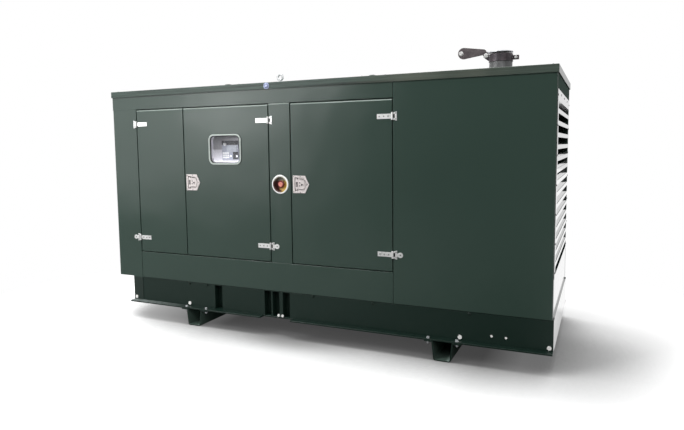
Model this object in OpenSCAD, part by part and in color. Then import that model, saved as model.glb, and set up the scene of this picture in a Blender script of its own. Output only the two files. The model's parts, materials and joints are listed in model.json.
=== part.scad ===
// Silent generator set: a lined sheet-metal canopy on a steel skid with two cross feet.
// X runs along the set, towards the louvred end that faces right, the service side faces -Y,
// and the origin is on the floor under the middle. Millimetres.

/* [Canopy] */
// Length of the canopy body
canopy_l = 3600; // [3500:10:3800]
// Width of the canopy body
canopy_w = 1300; // [1200:10:1400]
// Height of the wall over the doors, up to the top of the roof
header_h = 160; // [140:5:220]
// Thickness of a lined wall
wall_t = 55; // [55:1:70]
// How far the roof's lip stands out from the walls
lip_out = 8; // [6:1:16]
// Height of the roof's folded lip
lip_h = 50; // [40:1:60]

/* [Skid and feet] */
// Height of the skid rails
skid_h = 215; // [200:5:260]
// How far the canopy's left end reaches past the skid
skid_setback = 156; // [100:2:180]
// How far the bottom flange stands out from the canopy's side
flange_out = 51; // [40:1:70]
// Height of the cross feet
foot_h = 135; // [120:1:150]
// Distance between the middles of the two feet
foot_pitch = 2070; // [1900:10:2300]
// Width of a foot's channel at its open top
foot_top_w = 148; // [140:1:170]
// Width of a foot's channel at the floor
foot_bottom_w = 118; // [108:1:130]

/* [Doors] */
// Width of the plain wall left of the doors
left_post_w = 260; // [240:2:280]
// Width of the narrow door, between its seams
narrow_door_w = 492; // [460:2:520]
// Width of the door with the window, between its seams
window_door_w = 803; // [780:1:830]
// Width of the post between the doors, which holds the emergency stop
centre_post_w = 188; // [184:1:210]
// Width of the plain door, between its seams
plain_door_w = 800; // [770:2:830]
// Height of the wall below the doors
sill_h = 225; // [200:5:250]
// Height of the doors, between their seams
door_h = 1205; // [1180:5:1230]
// Thickness of a lined door
door_t = 40; // [38:1:41]
// Width of the gap round each door
door_gap = 7.5; // [7:0.5:9]

/* [Window] */
// Width over the window's rim
window_w = 304; // [280:1:340]
// Height over the window's rim
window_h = 239; // [220:1:280]

/* [Louvres] */
// Distance from one louvre blade to the next
louvre_pitch = 75; // [70:1:80]
// Height of the open slot between two blades
slot_h = 46; // [40:1:50]
// Number of open slots at each end
slot_count = 15; // [12:1:15]

/* [Exhaust] */
// Outer diameter of the exhaust pipe
pipe_d = 165; // [150:1:175]
// Height of the pipe's mouth above the roof
pipe_h = 174; // [165:1:200]
// Distance of the pipe from the canopy's right end
pipe_inset = 441; // [420:1:520]

/* [Hidden] */
$fn = 48;

// Levels above the floor
canopy_z = foot_h + skid_h;
door_z0 = canopy_z + sill_h;
door_z1 = door_z0 + door_h;
roof_z = door_z1 + header_h;
roof_t = 4;
wall_top = roof_z - roof_t;

// Positions along the set
left_x = -canopy_l / 2;
right_x = canopy_l / 2;
seam_1 = left_x + left_post_w;
seam_2 = seam_1 + narrow_door_w;
seam_3 = seam_2 + window_door_w;
seam_4 = seam_3 + centre_post_w;
seam_5 = seam_4 + plain_door_w;
panel_seam = 3;

// Positions across the set
face_y = -canopy_w / 2;
inner_y = face_y + wall_t;
edge_gap = door_gap / 2;
stop_lip_t = wall_t - door_t - door_gap;
stop_lip_w = 20;
stop_lip_z0 = door_z0 - edge_gap + stop_lip_w;
stop_lip_z1 = door_z1 + edge_gap - stop_lip_w;

// Skid
skid_l_x = left_x + skid_setback;
skid_r_x = right_x + lip_out;
skid_mid_x = (skid_l_x + skid_r_x) / 2;
web_set_in = 3;
web_y = face_y + web_set_in;
web_t = 8;
flange_t = 12;
flange_in = 60;
top_flange_t = 8;
top_flange_w = 70;
flute_depth = 56;
// Each flute: how far it starts from the post's left seam, and its width
flutes = [[-541, 69], [-70, 58], [3, 58], [94, 58]];
flange_gap = [-82, 181];
plug_r = 11;
plug_head_r = 14;
plug_head_t = 4;
plug_end_inset = 24;
plug_left_of_foot = 81;
plug_right_of_foot = 109;
plug_hole_slack = 1;
plug_above_foot = 33;
plug_z = foot_h + plug_above_foot;

// Feet
foot_plate_t = 8;
foot_ear_w = 52;
foot_bend_r = 16;
foot_stiffener_in = 390;
feet_left_of_middle = 10;
foot_len = canopy_w + 2 * flange_out;

// Hinges
hinge_end_inset = 122;
pin_r = 4;
pin_slack = 0.05;
knuckle_r = 7;
hinge_gap = 1;
pin_y = face_y - knuckle_r - hinge_gap;
barrel_h = 50;
strap_t = 3;
strap_l = 112;
strap_h = 34;
strap_knuckle_h = 24;
leaf_w = 32;
leaf_h = 64;
leaf_slot_w = 11;
ear_r = 19;
ear_reach = 56;
ear_hole_r = 5;

// Latches
latch_w = 135;
latch_h = 130;
latch_slant = 33;
latch_inset = 17;
latch_z = (door_z0 + door_z1) / 2;
latch_rim = 12;
latch_rim_t = 4;
latch_pan_t = 2;
latch_pan_depth = 24;
paddle_gap = 7;
paddle_t = 3;
paddle_pin_r = 3;
paddle_knuckle_r = 6;
paddle_pin_depth = 6;
paddle_pin_in = 8;
paddle_lug_t = 8;
paddle_lug_gap = 1;
paddle_tip_cut = 16;
paddle_inset = latch_rim + latch_pan_t + paddle_gap;
paddle_half_h = latch_h / 2 - paddle_inset - paddle_lug_t;
paddle_pin_x = paddle_inset + paddle_pin_in;
paddle_pin_z = latch_rim_t - paddle_pin_depth;

// Window
window_corner_r = 48;
window_rim_w = 11;
window_rim_t = 6;
window_glass_t = 5;
window_glass_in = 8;
window_below_door_top = 338;
window_x = (seam_2 + seam_3) / 2;
window_mid_z = door_z1 - window_below_door_top;

// Emergency stop
stop_above_door_foot = 600;
stop_x = (seam_3 + seam_4) / 2;
stop_z = door_z0 + stop_above_door_foot;
stop_ring_r = 72;
stop_mouth_r = 59;
stop_ring_t = 6;
stop_ring_bevel = 4;
stop_cup_r = 56;
stop_cup_t = 4;
stop_cup_depth = 34;
stop_plate_r = 50;
stop_plate_t = 3;
stop_button_r = 27;
stop_button_t = 13;
stop_button_bevel = 8;
stop_stem_r = 11;
stop_top_in = 2;
stop_stem_end = 42;
stop_back_r = 20;

// Control cabinet behind the window
cabinet_set_in = 100;
cabinet_past_seam = 62;
cabinet_w = 600;
cabinet_d = 250;
cabinet_below_door_top = 175;
cabinet_x = seam_2 - cabinet_past_seam;
cabinet_top_z = door_z1 - cabinet_below_door_top;
controller_w = 154;
controller_h = 152;
controller_t = 12;
controller_left_of_window = 12.5;
controller_below_window = 7;
controller_x = window_x - controller_left_of_window - controller_w / 2;
controller_z = window_mid_z - controller_below_window - controller_h / 2;

// Louvred ends
louvre_sheet_t = 3;
louvre_edge = 25;
louvre_stile = 65;
louvre_over_doors = 15;
louvre_top_z = door_z1 + louvre_over_doors;
louvre_head = 72;
louvre_foot = 20;
blade_depth = 46;
blade_under_slot_top = 4;
blade_rise = slot_h - blade_under_slot_top;
blade_t = 2;
slot_top_z = louvre_top_z - louvre_head;
louvre_bottom_z = slot_top_z - (slot_count - 1) * louvre_pitch - slot_h - louvre_foot;

// Exhaust
pipe_x = right_x - pipe_inset;
pipe_wall = 4;
pipe_below = 60;
mouth_z = roof_z + pipe_h;
collar_h = 55;
collar_t = 4;
collar_r = pipe_d / 2 + collar_t;
cap_gap = 12;
cap_t = 6;
cap_over = 1;
cap_r = collar_r + cap_over;
cap_pin_out = 19;
cap_pin_x = pipe_x - collar_r - cap_pin_out;
cap_pin_down = 4;
cap_pin_z = mouth_z - cap_pin_down;
cap_pin_r = 5;
cap_lug_r = 16;
cap_ear_t = 6;
cap_ear_r = 20;
cap_ear_gap = 2;
cap_ear_drop = 2;
cap_ear_rise = 8;
arm_t = 10;
arm_l = 168;
arm_end_r = 42;
arm_neck_r = 20;
arm_neck_in = 20;
arm_over_disc = 40;
arm_above_mouth = 26;
arm_bar_t = 8;
arm_z = mouth_z + arm_above_mouth;
clamp_lug = 42;
clamp_lug_h = 30;
clamp_lug_t = 6;
clamp_lug_gap = 10;
clamp_bolt_r = 5;

// Eyes
roof_eye_from_left = 1290;
roof_eye_x = left_x + roof_eye_from_left;
roof_eye_r = 34;
roof_eye_bar = 10;
roof_eye_up = 118;
roof_eye_z = roof_z + roof_eye_up;
roof_eye_base_r = 40;
roof_eye_base_t = 12;
lip_bolt_left_of_post = 4;
lip_bolt_x = seam_3 - lip_bolt_left_of_post;
lip_bolt_down = 26;
lip_bolt_z = roof_z - lip_bolt_down;
lip_washer_r = 24;
lip_washer_t = 3;
lip_head_r = 17;
lip_head_top_r = 11;
lip_head_t = 9;

lip_sheet_t = 3;
end_plate_t = 8;
end_flange_w = 50;
deck_t = 8;
louvre_opening_y = canopy_w / 2 - louvre_edge - louvre_stile;

green = [0.16, 0.21, 0.19];
dark_green = [0.10, 0.13, 0.12];
steel = [0.80, 0.81, 0.80];
grey = [0.62, 0.63, 0.64];
pipe_grey = [0.30, 0.29, 0.29];

// Lays a flat drawing on the service side, with its thickness standing outwards
module on_face(x, z) {
  translate([x, face_y, z]) rotate([90, 0, 0]) children();
}

// A block between two corners
module block(low, high) {
  translate(low) cube(high - low);
}

module rounded_rect(w, h, r) {
  square([w - 2 * r, h], center = true);
  square([w, h - 2 * r], center = true);
  for (sx = [-1, 1], sy = [-1, 1]) {
    translate([sx * (w / 2 - r), sy * (h / 2 - r)]) circle(r);
  }
}

// Two discs joined by their outer tangents
module tapered_bar(a, ra, b, rb) {
  d = norm(b - a);
  along = atan2(b[1] - a[1], b[0] - a[0]);
  side = acos((ra - rb) / d);
  up = [cos(along + side), sin(along + side)];
  down = [cos(along - side), sin(along - side)];
  translate(a) circle(ra);
  translate(b) circle(rb);
  polygon([a + ra * down, b + rb * down, b + rb * up, a + ra * up]);
}

// Skid --------------------------------------------------------------------------------------

// Draws something for the service side and its mirror image for the rear
module both_sides() {
  for (side = [0, 1]) mirror([0, side, 0]) children();
}

// The upright sheets of the two rails, with their flutes pressed inwards
module skid_webs() {
  web_z0 = foot_h + flange_t;
  web_z1 = canopy_z - top_flange_t;
  color(dark_green) both_sides() difference() {
    union() {
      block([skid_l_x, web_y, web_z0], [skid_r_x, web_y + web_t, web_z1]);
      for (f = flutes) {
        block([seam_3 + f[0] - web_t, web_y, web_z0],
          [seam_3 + f[0] + f[1] + web_t, web_y + flute_depth + web_t, web_z1]);
      }
    }
    for (f = flutes) {
      block([seam_3 + f[0], web_y - 1, web_z0 - 1],
        [seam_3 + f[0] + f[1], web_y + flute_depth, web_z1 + 1]);
    }
    for (x = plug_xs()) {
      translate([x, web_y - 1, plug_z]) rotate([-90, 0, 0]) cylinder(r = plug_r, h = web_t + 2);
    }
  }
}

module skid_top_flanges() {
  color(dark_green) both_sides() block([skid_l_x, web_y, canopy_z - top_flange_t],
    [skid_r_x, web_y + top_flange_w, canopy_z]);
}

// The flat flanges on the feet, left out over one stretch under the flutes
module skid_bottom_flanges() {
  outer = face_y - flange_out;
  inner = web_y + web_t + flange_in;
  color(dark_green) both_sides() difference() {
    block([skid_l_x, outer, foot_h], [skid_r_x, inner, foot_h + flange_t]);
    block([seam_3 + flange_gap[0], outer - 1, foot_h - 1],
      [seam_3 + flange_gap[1], web_y, foot_h + flange_t + 1]);
  }
}

function plug_xs() = [skid_l_x + plug_end_inset, foot_x(-1) - plug_left_of_foot,
  foot_x(1) + plug_right_of_foot, skid_r_x - plug_end_inset];

function foot_x(side) = skid_mid_x - feet_left_of_middle + side * foot_pitch / 2;

// The channels that close the skid's two ends, between the rails
module skid_ends() {
  reach = canopy_w / 2 - web_set_in - web_t;
  color(dark_green) {
    translate([skid_l_x, 0, 0]) end_channel(reach);
    translate([skid_r_x, 0, 0]) mirror([1, 0, 0]) end_channel(reach);
  }
}

// One end channel with its open side towards +X, reaching that far to each side
module end_channel(reach) {
  low = reach - flange_in;
  high = reach - top_flange_w + web_t;
  block([0, -reach, foot_h + flange_t], [end_plate_t, reach, canopy_z - top_flange_t]);
  block([0, -low, foot_h], [end_flange_w, low, foot_h + flange_t]);
  block([0, -high, canopy_z - top_flange_t], [end_flange_w, high, canopy_z]);
}

module skid_plugs() {
  color("white") both_sides() for (x = plug_xs()) translate([x, web_y, plug_z]) {
    rotate([90, 0, 0]) cylinder(r = plug_head_r, h = plug_head_t);
    rotate([-90, 0, 0]) cylinder(r = plug_r, h = web_t);
  }
}

// Feet --------------------------------------------------------------------------------------

// Points of an arc round c, from one angle to another
function corner(c, r, from, to, steps = 6) =
  [for (i = [0:steps]) let (a = from + (to - from) * i / steps) c + r * [cos(a), sin(a)]];

// Outline of the channel's inside or outside, set in by t all round, open at the top
function channel(t, over) = let (
    slope = atan2((foot_top_w - foot_bottom_w) / 2, foot_h),
    r = foot_bend_r - t,
    side = foot_bottom_w / 2 - t / cos(slope) + t * tan(slope),
    cx = side - r * tan(45 - slope / 2),
    top = foot_h + over,
    top_x = side + (top - t) * tan(slope))
  concat([[-top_x, top]], corner([-cx, t + r], r, 180 + slope, 270),
    corner([cx, t + r], r, 270, 360 - slope), [[top_x, top]]);

module foot(side) {
  ear_reach_x = foot_top_w / 2 + foot_ear_w;
  x = foot_x(side);
  translate([x, foot_len / 2, 0]) rotate([90, 0, 0]) {
    linear_extrude(foot_len) difference() {
      union() {
        polygon(channel(0, 0));
        translate([-ear_reach_x, foot_h - foot_plate_t]) square([2 * ear_reach_x, foot_plate_t]);
      }
      polygon(channel(foot_plate_t, 1));
    }
    for (z = [foot_stiffener_in, foot_len - foot_stiffener_in - foot_plate_t]) {
      translate([0, 0, z]) linear_extrude(foot_plate_t) polygon(channel(foot_plate_t / 2, 0));
    }
  }
}

module foot_left() {
  color(dark_green) foot(-1);
}

module foot_right() {
  color(dark_green) foot(1);
}

// Walls -------------------------------------------------------------------------------------

module deck() {
  color(grey) block([left_x + wall_t, inner_y, canopy_z],
    [right_x - wall_t, -inner_y, canopy_z + deck_t]);
}

module front_sill() {
  start = seam_1 - edge_gap + panel_seam;
  end = seam_5 + edge_gap - panel_seam;
  color(green) {
    block([start, face_y, canopy_z], [end, inner_y, door_z0 - edge_gap]);
    block([start, inner_y - stop_lip_t, door_z0 - edge_gap], [end, inner_y, stop_lip_z0]);
  }
}

module front_header() {
  end = seam_5 + edge_gap - panel_seam;
  color(green) {
    block([left_x, face_y, door_z1 + edge_gap], [end, inner_y, wall_top]);
    block([left_x, inner_y - stop_lip_t, stop_lip_z1], [end, inner_y, door_z1 + edge_gap]);
  }
}

// A post between the sill and the header, from x0 to x1, with a stop lip on the named sides
module post(x0, x1, lip_0, lip_1) {
  lip_y = inner_y - stop_lip_t;
  block([x0, face_y, door_z0 - edge_gap], [x1, lip_y, door_z1 + edge_gap]);
  block([x0 - lip_0, lip_y, stop_lip_z0], [x1 + lip_1, inner_y, stop_lip_z1]);
}

// The corner post, which goes down beside the sill and over the skid's end to its flange
module front_post_left() {
  end = seam_1 - edge_gap;
  color(green) {
    post(left_x, end, 0, stop_lip_w);
    block([left_x, face_y, canopy_z], [end, inner_y, door_z0 - edge_gap]);
    block([left_x, inner_y - stop_lip_t, door_z0 - edge_gap], [end, inner_y, stop_lip_z0]);
    difference() {
      block([skid_l_x, face_y, foot_h + flange_t], [end, web_y, canopy_z]);
      translate([plug_xs()[0], face_y - 1, plug_z]) rotate([-90, 0, 0])
        cylinder(r = plug_head_r + plug_hole_slack, h = web_set_in + 1);
    }
  }
}

module front_post_centre() {
  pocket_depth = door_t + door_gap;
  color(green) difference() {
    post(seam_3 + edge_gap, seam_4 - edge_gap, stop_lip_w, stop_lip_w);
    on_face(stop_x, stop_z) {
      translate([0, 0, -pocket_depth]) cylinder(r = stop_cup_r, h = pocket_depth + 1);
      translate([0, 0, -wall_t - 1]) cylinder(r = stop_back_r, h = wall_t);
    }
  }
}

module front_panel() {
  x0 = seam_5 + edge_gap;
  color(green) {
    block([x0, face_y, canopy_z], [right_x, inner_y, wall_top]);
    block([x0 - stop_lip_w, inner_y - stop_lip_t, stop_lip_z0], [x0, inner_y, stop_lip_z1]);
  }
}

module rear_wall() {
  openings = [[seam_1, seam_3], [seam_4, seam_5]];
  color(green) mirror([0, 1, 0]) difference() {
    block([left_x, face_y, canopy_z], [right_x, inner_y, wall_top]);
    for (o = openings) {
      block([o[0] - edge_gap, face_y - 1, door_z0 - edge_gap],
        [o[1] + edge_gap, face_y + door_t, door_z1 + edge_gap]);
    }
  }
}

module door_slab(x0, x1) {
  block([x0 + edge_gap, face_y, door_z0 + edge_gap], [x1 - edge_gap, face_y + door_t, door_z1 - edge_gap]);
}

module rear_doors() {
  color(green) mirror([0, 1, 0]) {
    door_slab(seam_1, seam_2);
    door_slab(seam_2, seam_3);
    door_slab(seam_4, seam_5);
  }
}

// One louvred end: the wall, with its opening behind the slots
module end_wall() {
  half = canopy_w / 2 - wall_t;
  color(green) difference() {
    block([right_x - wall_t, -half, canopy_z], [right_x, half, wall_top]);
    block([right_x - wall_t - 1, -louvre_opening_y, louvre_bottom_z + louvre_foot],
      [right_x + 1, louvre_opening_y, slot_top_z]);
  }
}

module end_wall_right() {
  end_wall();
}

module end_wall_left() {
  mirror([1, 0, 0]) end_wall();
}

// Side view of one blade: its upright lip, then the sheet that rises inwards from it
function blade_outline() = let (lip = louvre_pitch - slot_h)
  [[louvre_sheet_t, lip], [louvre_sheet_t, 0], [0, 0], [0, lip - blade_t],
  [-blade_depth, lip + blade_rise - blade_t], [-blade_depth, lip + blade_rise], [0, lip]];

// The louvre panel: a flat frame on the end wall, with a blade under every slot but the last
module louvre_panel() {
  half = canopy_w / 2 - louvre_edge;
  color(green) {
    difference() {
      block([right_x, -half, louvre_bottom_z], [right_x + louvre_sheet_t, half, louvre_top_z]);
      block([right_x - 1, -louvre_opening_y, louvre_bottom_z + louvre_foot],
        [right_x + louvre_sheet_t + 1, louvre_opening_y, slot_top_z]);
    }
    for (i = [1:slot_count - 1]) {
      translate([right_x, louvre_opening_y, slot_top_z - i * louvre_pitch]) rotate([90, 0, 0])
        linear_extrude(2 * louvre_opening_y) polygon(blade_outline());
    }
  }
}

module louvre_right() {
  louvre_panel();
}

module louvre_left() {
  mirror([1, 0, 0]) louvre_panel();
}

module roof() {
  l = canopy_l / 2 + lip_out;
  w = canopy_w / 2 + lip_out;
  color(green) difference() {
    block([-l, -w, roof_z - lip_h], [l, w, roof_z]);
    block([-l + lip_sheet_t, -w + lip_sheet_t, roof_z - lip_h - 1],
      [l - lip_sheet_t, w - lip_sheet_t, wall_top]);
    translate([pipe_x, 0, wall_top - 1]) cylinder(d = pipe_d, h = roof_t + 2);
  }
}

// Doors -------------------------------------------------------------------------------------

module narrow_door() {
  color(green) door_slab(seam_1, seam_2);
}

module latch_hole(x0) {
  on_face(x0 + latch_inset, latch_z) translate([0, 0, -latch_pan_depth])
    linear_extrude(latch_pan_depth + 1) polygon(latch_outline(latch_rim));
}

module window_door() {
  color(green) difference() {
    door_slab(seam_2, seam_3);
    latch_hole(seam_2);
    on_face(window_x, window_mid_z) translate([0, 0, -door_t - 1])
      linear_extrude(door_t + 2) window_opening();
  }
}

module plain_door() {
  color(green) difference() {
    door_slab(seam_4, seam_5);
    latch_hole(seam_4);
  }
}

module window_opening() {
  rounded_rect(window_w - 2 * window_rim_w, window_h - 2 * window_rim_w, window_corner_r - window_rim_w);
}

module window_rim() {
  color([0.55, 0.6, 0.57]) on_face(window_x, window_mid_z) linear_extrude(window_rim_t)
    difference() {
      rounded_rect(window_w, window_h, window_corner_r);
      window_opening();
    }
}

module window_glass() {
  color([0.7, 0.75, 0.75, 0.4]) on_face(window_x, window_mid_z)
    translate([0, 0, -window_glass_in - window_glass_t]) linear_extrude(window_glass_t) window_opening();
}

// Hinges ------------------------------------------------------------------------------------

function hinge_zs() = [door_z0 + hinge_end_inset, door_z1 - hinge_end_inset];

// Door half of a hinge, drawn with the door to the right of the pin
module strap() {
  rotate([90, 0, 0]) linear_extrude(strap_t)
    translate([knuckle_r + 2, -strap_h / 2]) square([strap_l - knuckle_r - 2, strap_h]);
  difference() {
    union() {
      translate([0, -knuckle_r - hinge_gap, -strap_knuckle_h / 2])
        cylinder(r = knuckle_r, h = strap_knuckle_h);
      translate([0, -strap_t, -strap_knuckle_h / 2])
        cube([knuckle_r + 3, strap_t - hinge_gap, strap_knuckle_h]);
    }
    translate([0, -knuckle_r - hinge_gap, -barrel_h / 2]) cylinder(r = pin_r + pin_slack, h = barrel_h);
  }
}

// Fixed half of a hinge, drawn with the door to the right of the pin: a plate that widens away
// from the pin, with a slot beside the strap's knuckle
module leaf(with_ear) {
  knuckle_h = (barrel_h - strap_knuckle_h) / 2 - hinge_gap;
  slot_half = strap_knuckle_h / 2 + hinge_gap;
  difference() {
    union() {
      rotate([90, 0, 0]) linear_extrude(strap_t) difference() {
        polygon([[-leaf_w, -leaf_h / 2], [-knuckle_r, -barrel_h / 2], [-knuckle_r, barrel_h / 2],
          [-leaf_w, leaf_h / 2]]);
        translate([-knuckle_r - leaf_slot_w, -slot_half]) square([leaf_slot_w + 1, 2 * slot_half]);
      }
      for (z = [-barrel_h / 2, barrel_h / 2 - knuckle_h]) {
        translate([0, -knuckle_r - hinge_gap, z]) cylinder(r = knuckle_r, h = knuckle_h);
        translate([-knuckle_r - 1, -strap_t - knuckle_r, z])
          cube([knuckle_r + 1, knuckle_r + strap_t - hinge_gap, knuckle_h]);
      }
      translate([0, -knuckle_r - hinge_gap, -barrel_h / 2]) cylinder(r = pin_r, h = barrel_h);
      if (with_ear) {
        rotate([90, 0, 0]) linear_extrude(strap_t) {
          tapered_bar([-ear_reach, 0], ear_r, [-leaf_w, 0], ear_r / 2);
        }
      }
    }
    if (with_ear) {
      translate([-ear_reach, 1, 0]) rotate([90, 0, 0]) cylinder(r = ear_hole_r, h = strap_t + 2);
    }
  }
}

// Places what is drawn for a left-hand pin at each hinge of a door, lower hinge first
module at_hinges(seam, left_hand) {
  for (i = [0, 1]) {
    $lower = i == 0;
    translate([seam, face_y, hinge_zs()[i]]) mirror([left_hand ? 0 : 1, 0, 0]) children();
  }
}

module narrow_door_straps() {
  color(steel) at_hinges(seam_1, true) strap();
}

module window_door_straps() {
  color(steel) at_hinges(seam_3, false) strap();
}

module plain_door_straps() {
  color(steel) at_hinges(seam_5, false) strap();
}

module all_leaves() {
  at_hinges(seam_1, true) leaf($lower);
  at_hinges(seam_3, false) leaf($lower);
  at_hinges(seam_5, false) leaf($lower);
}

module hinge_leaves() {
  color(steel) all_leaves();
}

module rear_hinges() {
  color(steel) mirror([0, 1, 0]) {
    all_leaves();
    at_hinges(seam_1, true) strap();
    at_hinges(seam_3, false) strap();
    at_hinges(seam_5, false) strap();
  }
}

// Latches -----------------------------------------------------------------------------------

// Five-sided outline of a latch, set in by d all round, with its tip to the right
function latch_outline(d) = let (
    run = latch_slant / (latch_h / 2),
    tip = latch_w - d * sqrt(1 + run * run),
    half = latch_h / 2 - d)
  [[d, -half], [tip - run * half, -half], [tip, 0], [tip - run * half, half], [d, half]];

// One latch: its flat rim, the pan behind it and the two lugs that carry the paddle's pin
module latch_pan() {
  pan_floor = latch_pan_t - latch_pan_depth;
  difference() {
    union() {
      linear_extrude(latch_rim_t) polygon(latch_outline(0));
      translate([0, 0, -latch_pan_depth]) linear_extrude(latch_pan_depth) polygon(latch_outline(latch_rim));
    }
    translate([0, 0, pan_floor]) linear_extrude(latch_pan_depth + latch_rim_t)
      polygon(latch_outline(latch_rim + latch_pan_t));
  }
  for (side = [-1, 1]) {
    lug_y = side * (paddle_half_h + paddle_lug_gap + paddle_lug_t / 2);
    difference() {
      translate([paddle_pin_x - paddle_knuckle_r, lug_y - paddle_lug_t / 2, pan_floor])
        cube([2 * paddle_knuckle_r, paddle_lug_t, paddle_pin_z + paddle_knuckle_r - pan_floor]);
      translate([paddle_pin_x, -latch_h / 2, paddle_pin_z]) rotate([-90, 0, 0])
        cylinder(r = paddle_pin_r + pin_slack, h = latch_h);
    }
  }
}

// The pull paddle, with its pin along its left edge
module paddle() {
  paddle_w = latch_w - paddle_inset - latch_rim - paddle_tip_cut - paddle_gap;
  pin_half = paddle_half_h + paddle_lug_gap + paddle_lug_t;
  intersection() {
    translate([0, 0, latch_rim_t - paddle_t]) linear_extrude(paddle_t) polygon(latch_outline(paddle_inset));
    translate([paddle_inset, -paddle_half_h, -1]) cube([paddle_w, 2 * paddle_half_h, latch_rim_t + 2]);
  }
  translate([paddle_pin_x, 0, paddle_pin_z]) rotate([90, 0, 0]) {
    cylinder(r = paddle_knuckle_r - 1, h = 2 * paddle_half_h, center = true);
    cylinder(r = paddle_pin_r, h = 2 * pin_half, center = true);
  }
}

module window_door_latch() {
  color(steel) on_face(seam_2 + latch_inset, latch_z) latch_pan();
}

module plain_door_latch() {
  color(steel) on_face(seam_4 + latch_inset, latch_z) latch_pan();
}

module window_door_paddle() {
  color(steel) on_face(seam_2 + latch_inset, latch_z) paddle();
}

module plain_door_paddle() {
  color(steel) on_face(seam_4 + latch_inset, latch_z) paddle();
}

module rear_latches() {
  color(steel) mirror([0, 1, 0]) for (x = [seam_2, seam_4]) {
    on_face(x + latch_inset, latch_z) linear_extrude(latch_rim_t) polygon(latch_outline(0));
  }
}

// Emergency stop ----------------------------------------------------------------------------

// The ring with the cup behind it, and a hole in the cup's floor for the button's stem
module stop_ring() {
  cup_floor = stop_cup_t - stop_cup_depth;
  stem_hole_r = stop_stem_r + pin_slack;
  color("white") on_face(stop_x, stop_z) rotate_extrude()
    polygon([[stop_cup_r - stop_cup_t, 0], [stop_mouth_r - stop_cup_t, stop_ring_t],
      [stop_ring_r - stop_ring_bevel, stop_ring_t], [stop_ring_r, stop_ring_t - stop_ring_bevel],
      [stop_ring_r, 0], [stop_cup_r, 0], [stop_cup_r, -stop_cup_depth],
      [stem_hole_r, -stop_cup_depth], [stem_hole_r, cup_floor], [stop_cup_r - stop_cup_t, cup_floor]]);
}

module stop_plate() {
  color("gold") on_face(stop_x, stop_z) translate([0, 0, stop_cup_t - stop_cup_depth]) difference() {
    cylinder(r = stop_plate_r, h = stop_plate_t);
    translate([0, 0, -1]) cylinder(r = stop_stem_r + pin_slack, h = stop_plate_t + 2);
  }
}

module stop_button() {
  head_z = -stop_top_in - stop_button_t;
  color("firebrick") on_face(stop_x, stop_z) {
    translate([0, 0, -stop_stem_end]) cylinder(r = stop_stem_r, h = stop_stem_end + head_z + 1);
    translate([0, 0, head_z]) cylinder(r = stop_button_r, h = stop_button_t - stop_button_bevel);
    translate([0, 0, -stop_top_in - stop_button_bevel])
      cylinder(r1 = stop_button_r, r2 = stop_button_r - stop_button_bevel, h = stop_button_bevel);
  }
}

// Control cabinet ---------------------------------------------------------------------------

module control_cabinet() {
  y0 = face_y + cabinet_set_in;
  color([0.72, 0.72, 0.74]) block([cabinet_x, y0, canopy_z + deck_t],
    [cabinet_x + cabinet_w, y0 + cabinet_d, cabinet_top_z]);
}

module controller() {
  y0 = face_y + cabinet_set_in;
  color([0.4, 0.43, 0.48]) block([controller_x, y0 - controller_t, controller_z],
    [controller_x + controller_w, y0, controller_z + controller_h]);
}

// Exhaust -----------------------------------------------------------------------------------

module exhaust_pipe() {
  color(pipe_grey) translate([pipe_x, 0, roof_z - pipe_below]) difference() {
    cylinder(d = pipe_d, h = pipe_h + pipe_below);
    translate([0, 0, -1]) cylinder(d = pipe_d - 2 * pipe_wall, h = pipe_h + pipe_below + 2);
  }
}

// The collar round the pipe's mouth, with the two ears and pin of the rain cap and the clamp's lugs
module exhaust_collar() {
  ear_y = arm_t / 2 + cap_ear_gap;
  collar_mid_z = mouth_z - collar_h / 2;
  color(pipe_grey) {
    difference() {
      union() {
        translate([pipe_x, 0, mouth_z - collar_h]) cylinder(r = collar_r, h = collar_h);
        for (y = [-ear_y, ear_y + cap_ear_t]) {
          translate([0, y, 0]) rotate([90, 0, 0]) linear_extrude(cap_ear_t) cap_ear();
        }
        for (side = [-1, 1]) {
          y = side * (clamp_lug_gap + clamp_lug_t) / 2;
          block([pipe_x + collar_r - collar_t, y - clamp_lug_t / 2, collar_mid_z - clamp_lug_h / 2],
            [pipe_x + collar_r + clamp_lug, y + clamp_lug_t / 2, collar_mid_z + clamp_lug_h / 2]);
        }
      }
      translate([pipe_x, 0, mouth_z - collar_h - 1]) cylinder(d = pipe_d, h = collar_h + 2);
    }
    translate([cap_pin_x, 0, cap_pin_z]) rotate([90, 0, 0])
      cylinder(r = cap_pin_r, h = 2 * ear_y + 2, center = true);
    translate([pipe_x + collar_r + clamp_lug / 2, 0, collar_mid_z]) rotate([90, 0, 0])
      cylinder(r = clamp_bolt_r, h = clamp_lug_gap + 2, center = true);
  }
}

// Side view of a pivot ear, from the collar to round the pin
module cap_ear() {
  root_x = pipe_x - collar_r + collar_t;
  top = mouth_z - cap_ear_drop;
  chord = cap_ear_r * cos(45);
  polygon([[cap_pin_x - chord, cap_pin_z - chord], [cap_pin_x, cap_pin_z + cap_ear_r],
    [root_x, min(top, cap_pin_z + cap_ear_r)], [root_x, mouth_z - collar_h + cap_ear_rise]]);
  translate([cap_pin_x, cap_pin_z]) circle(cap_ear_r);
}

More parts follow.
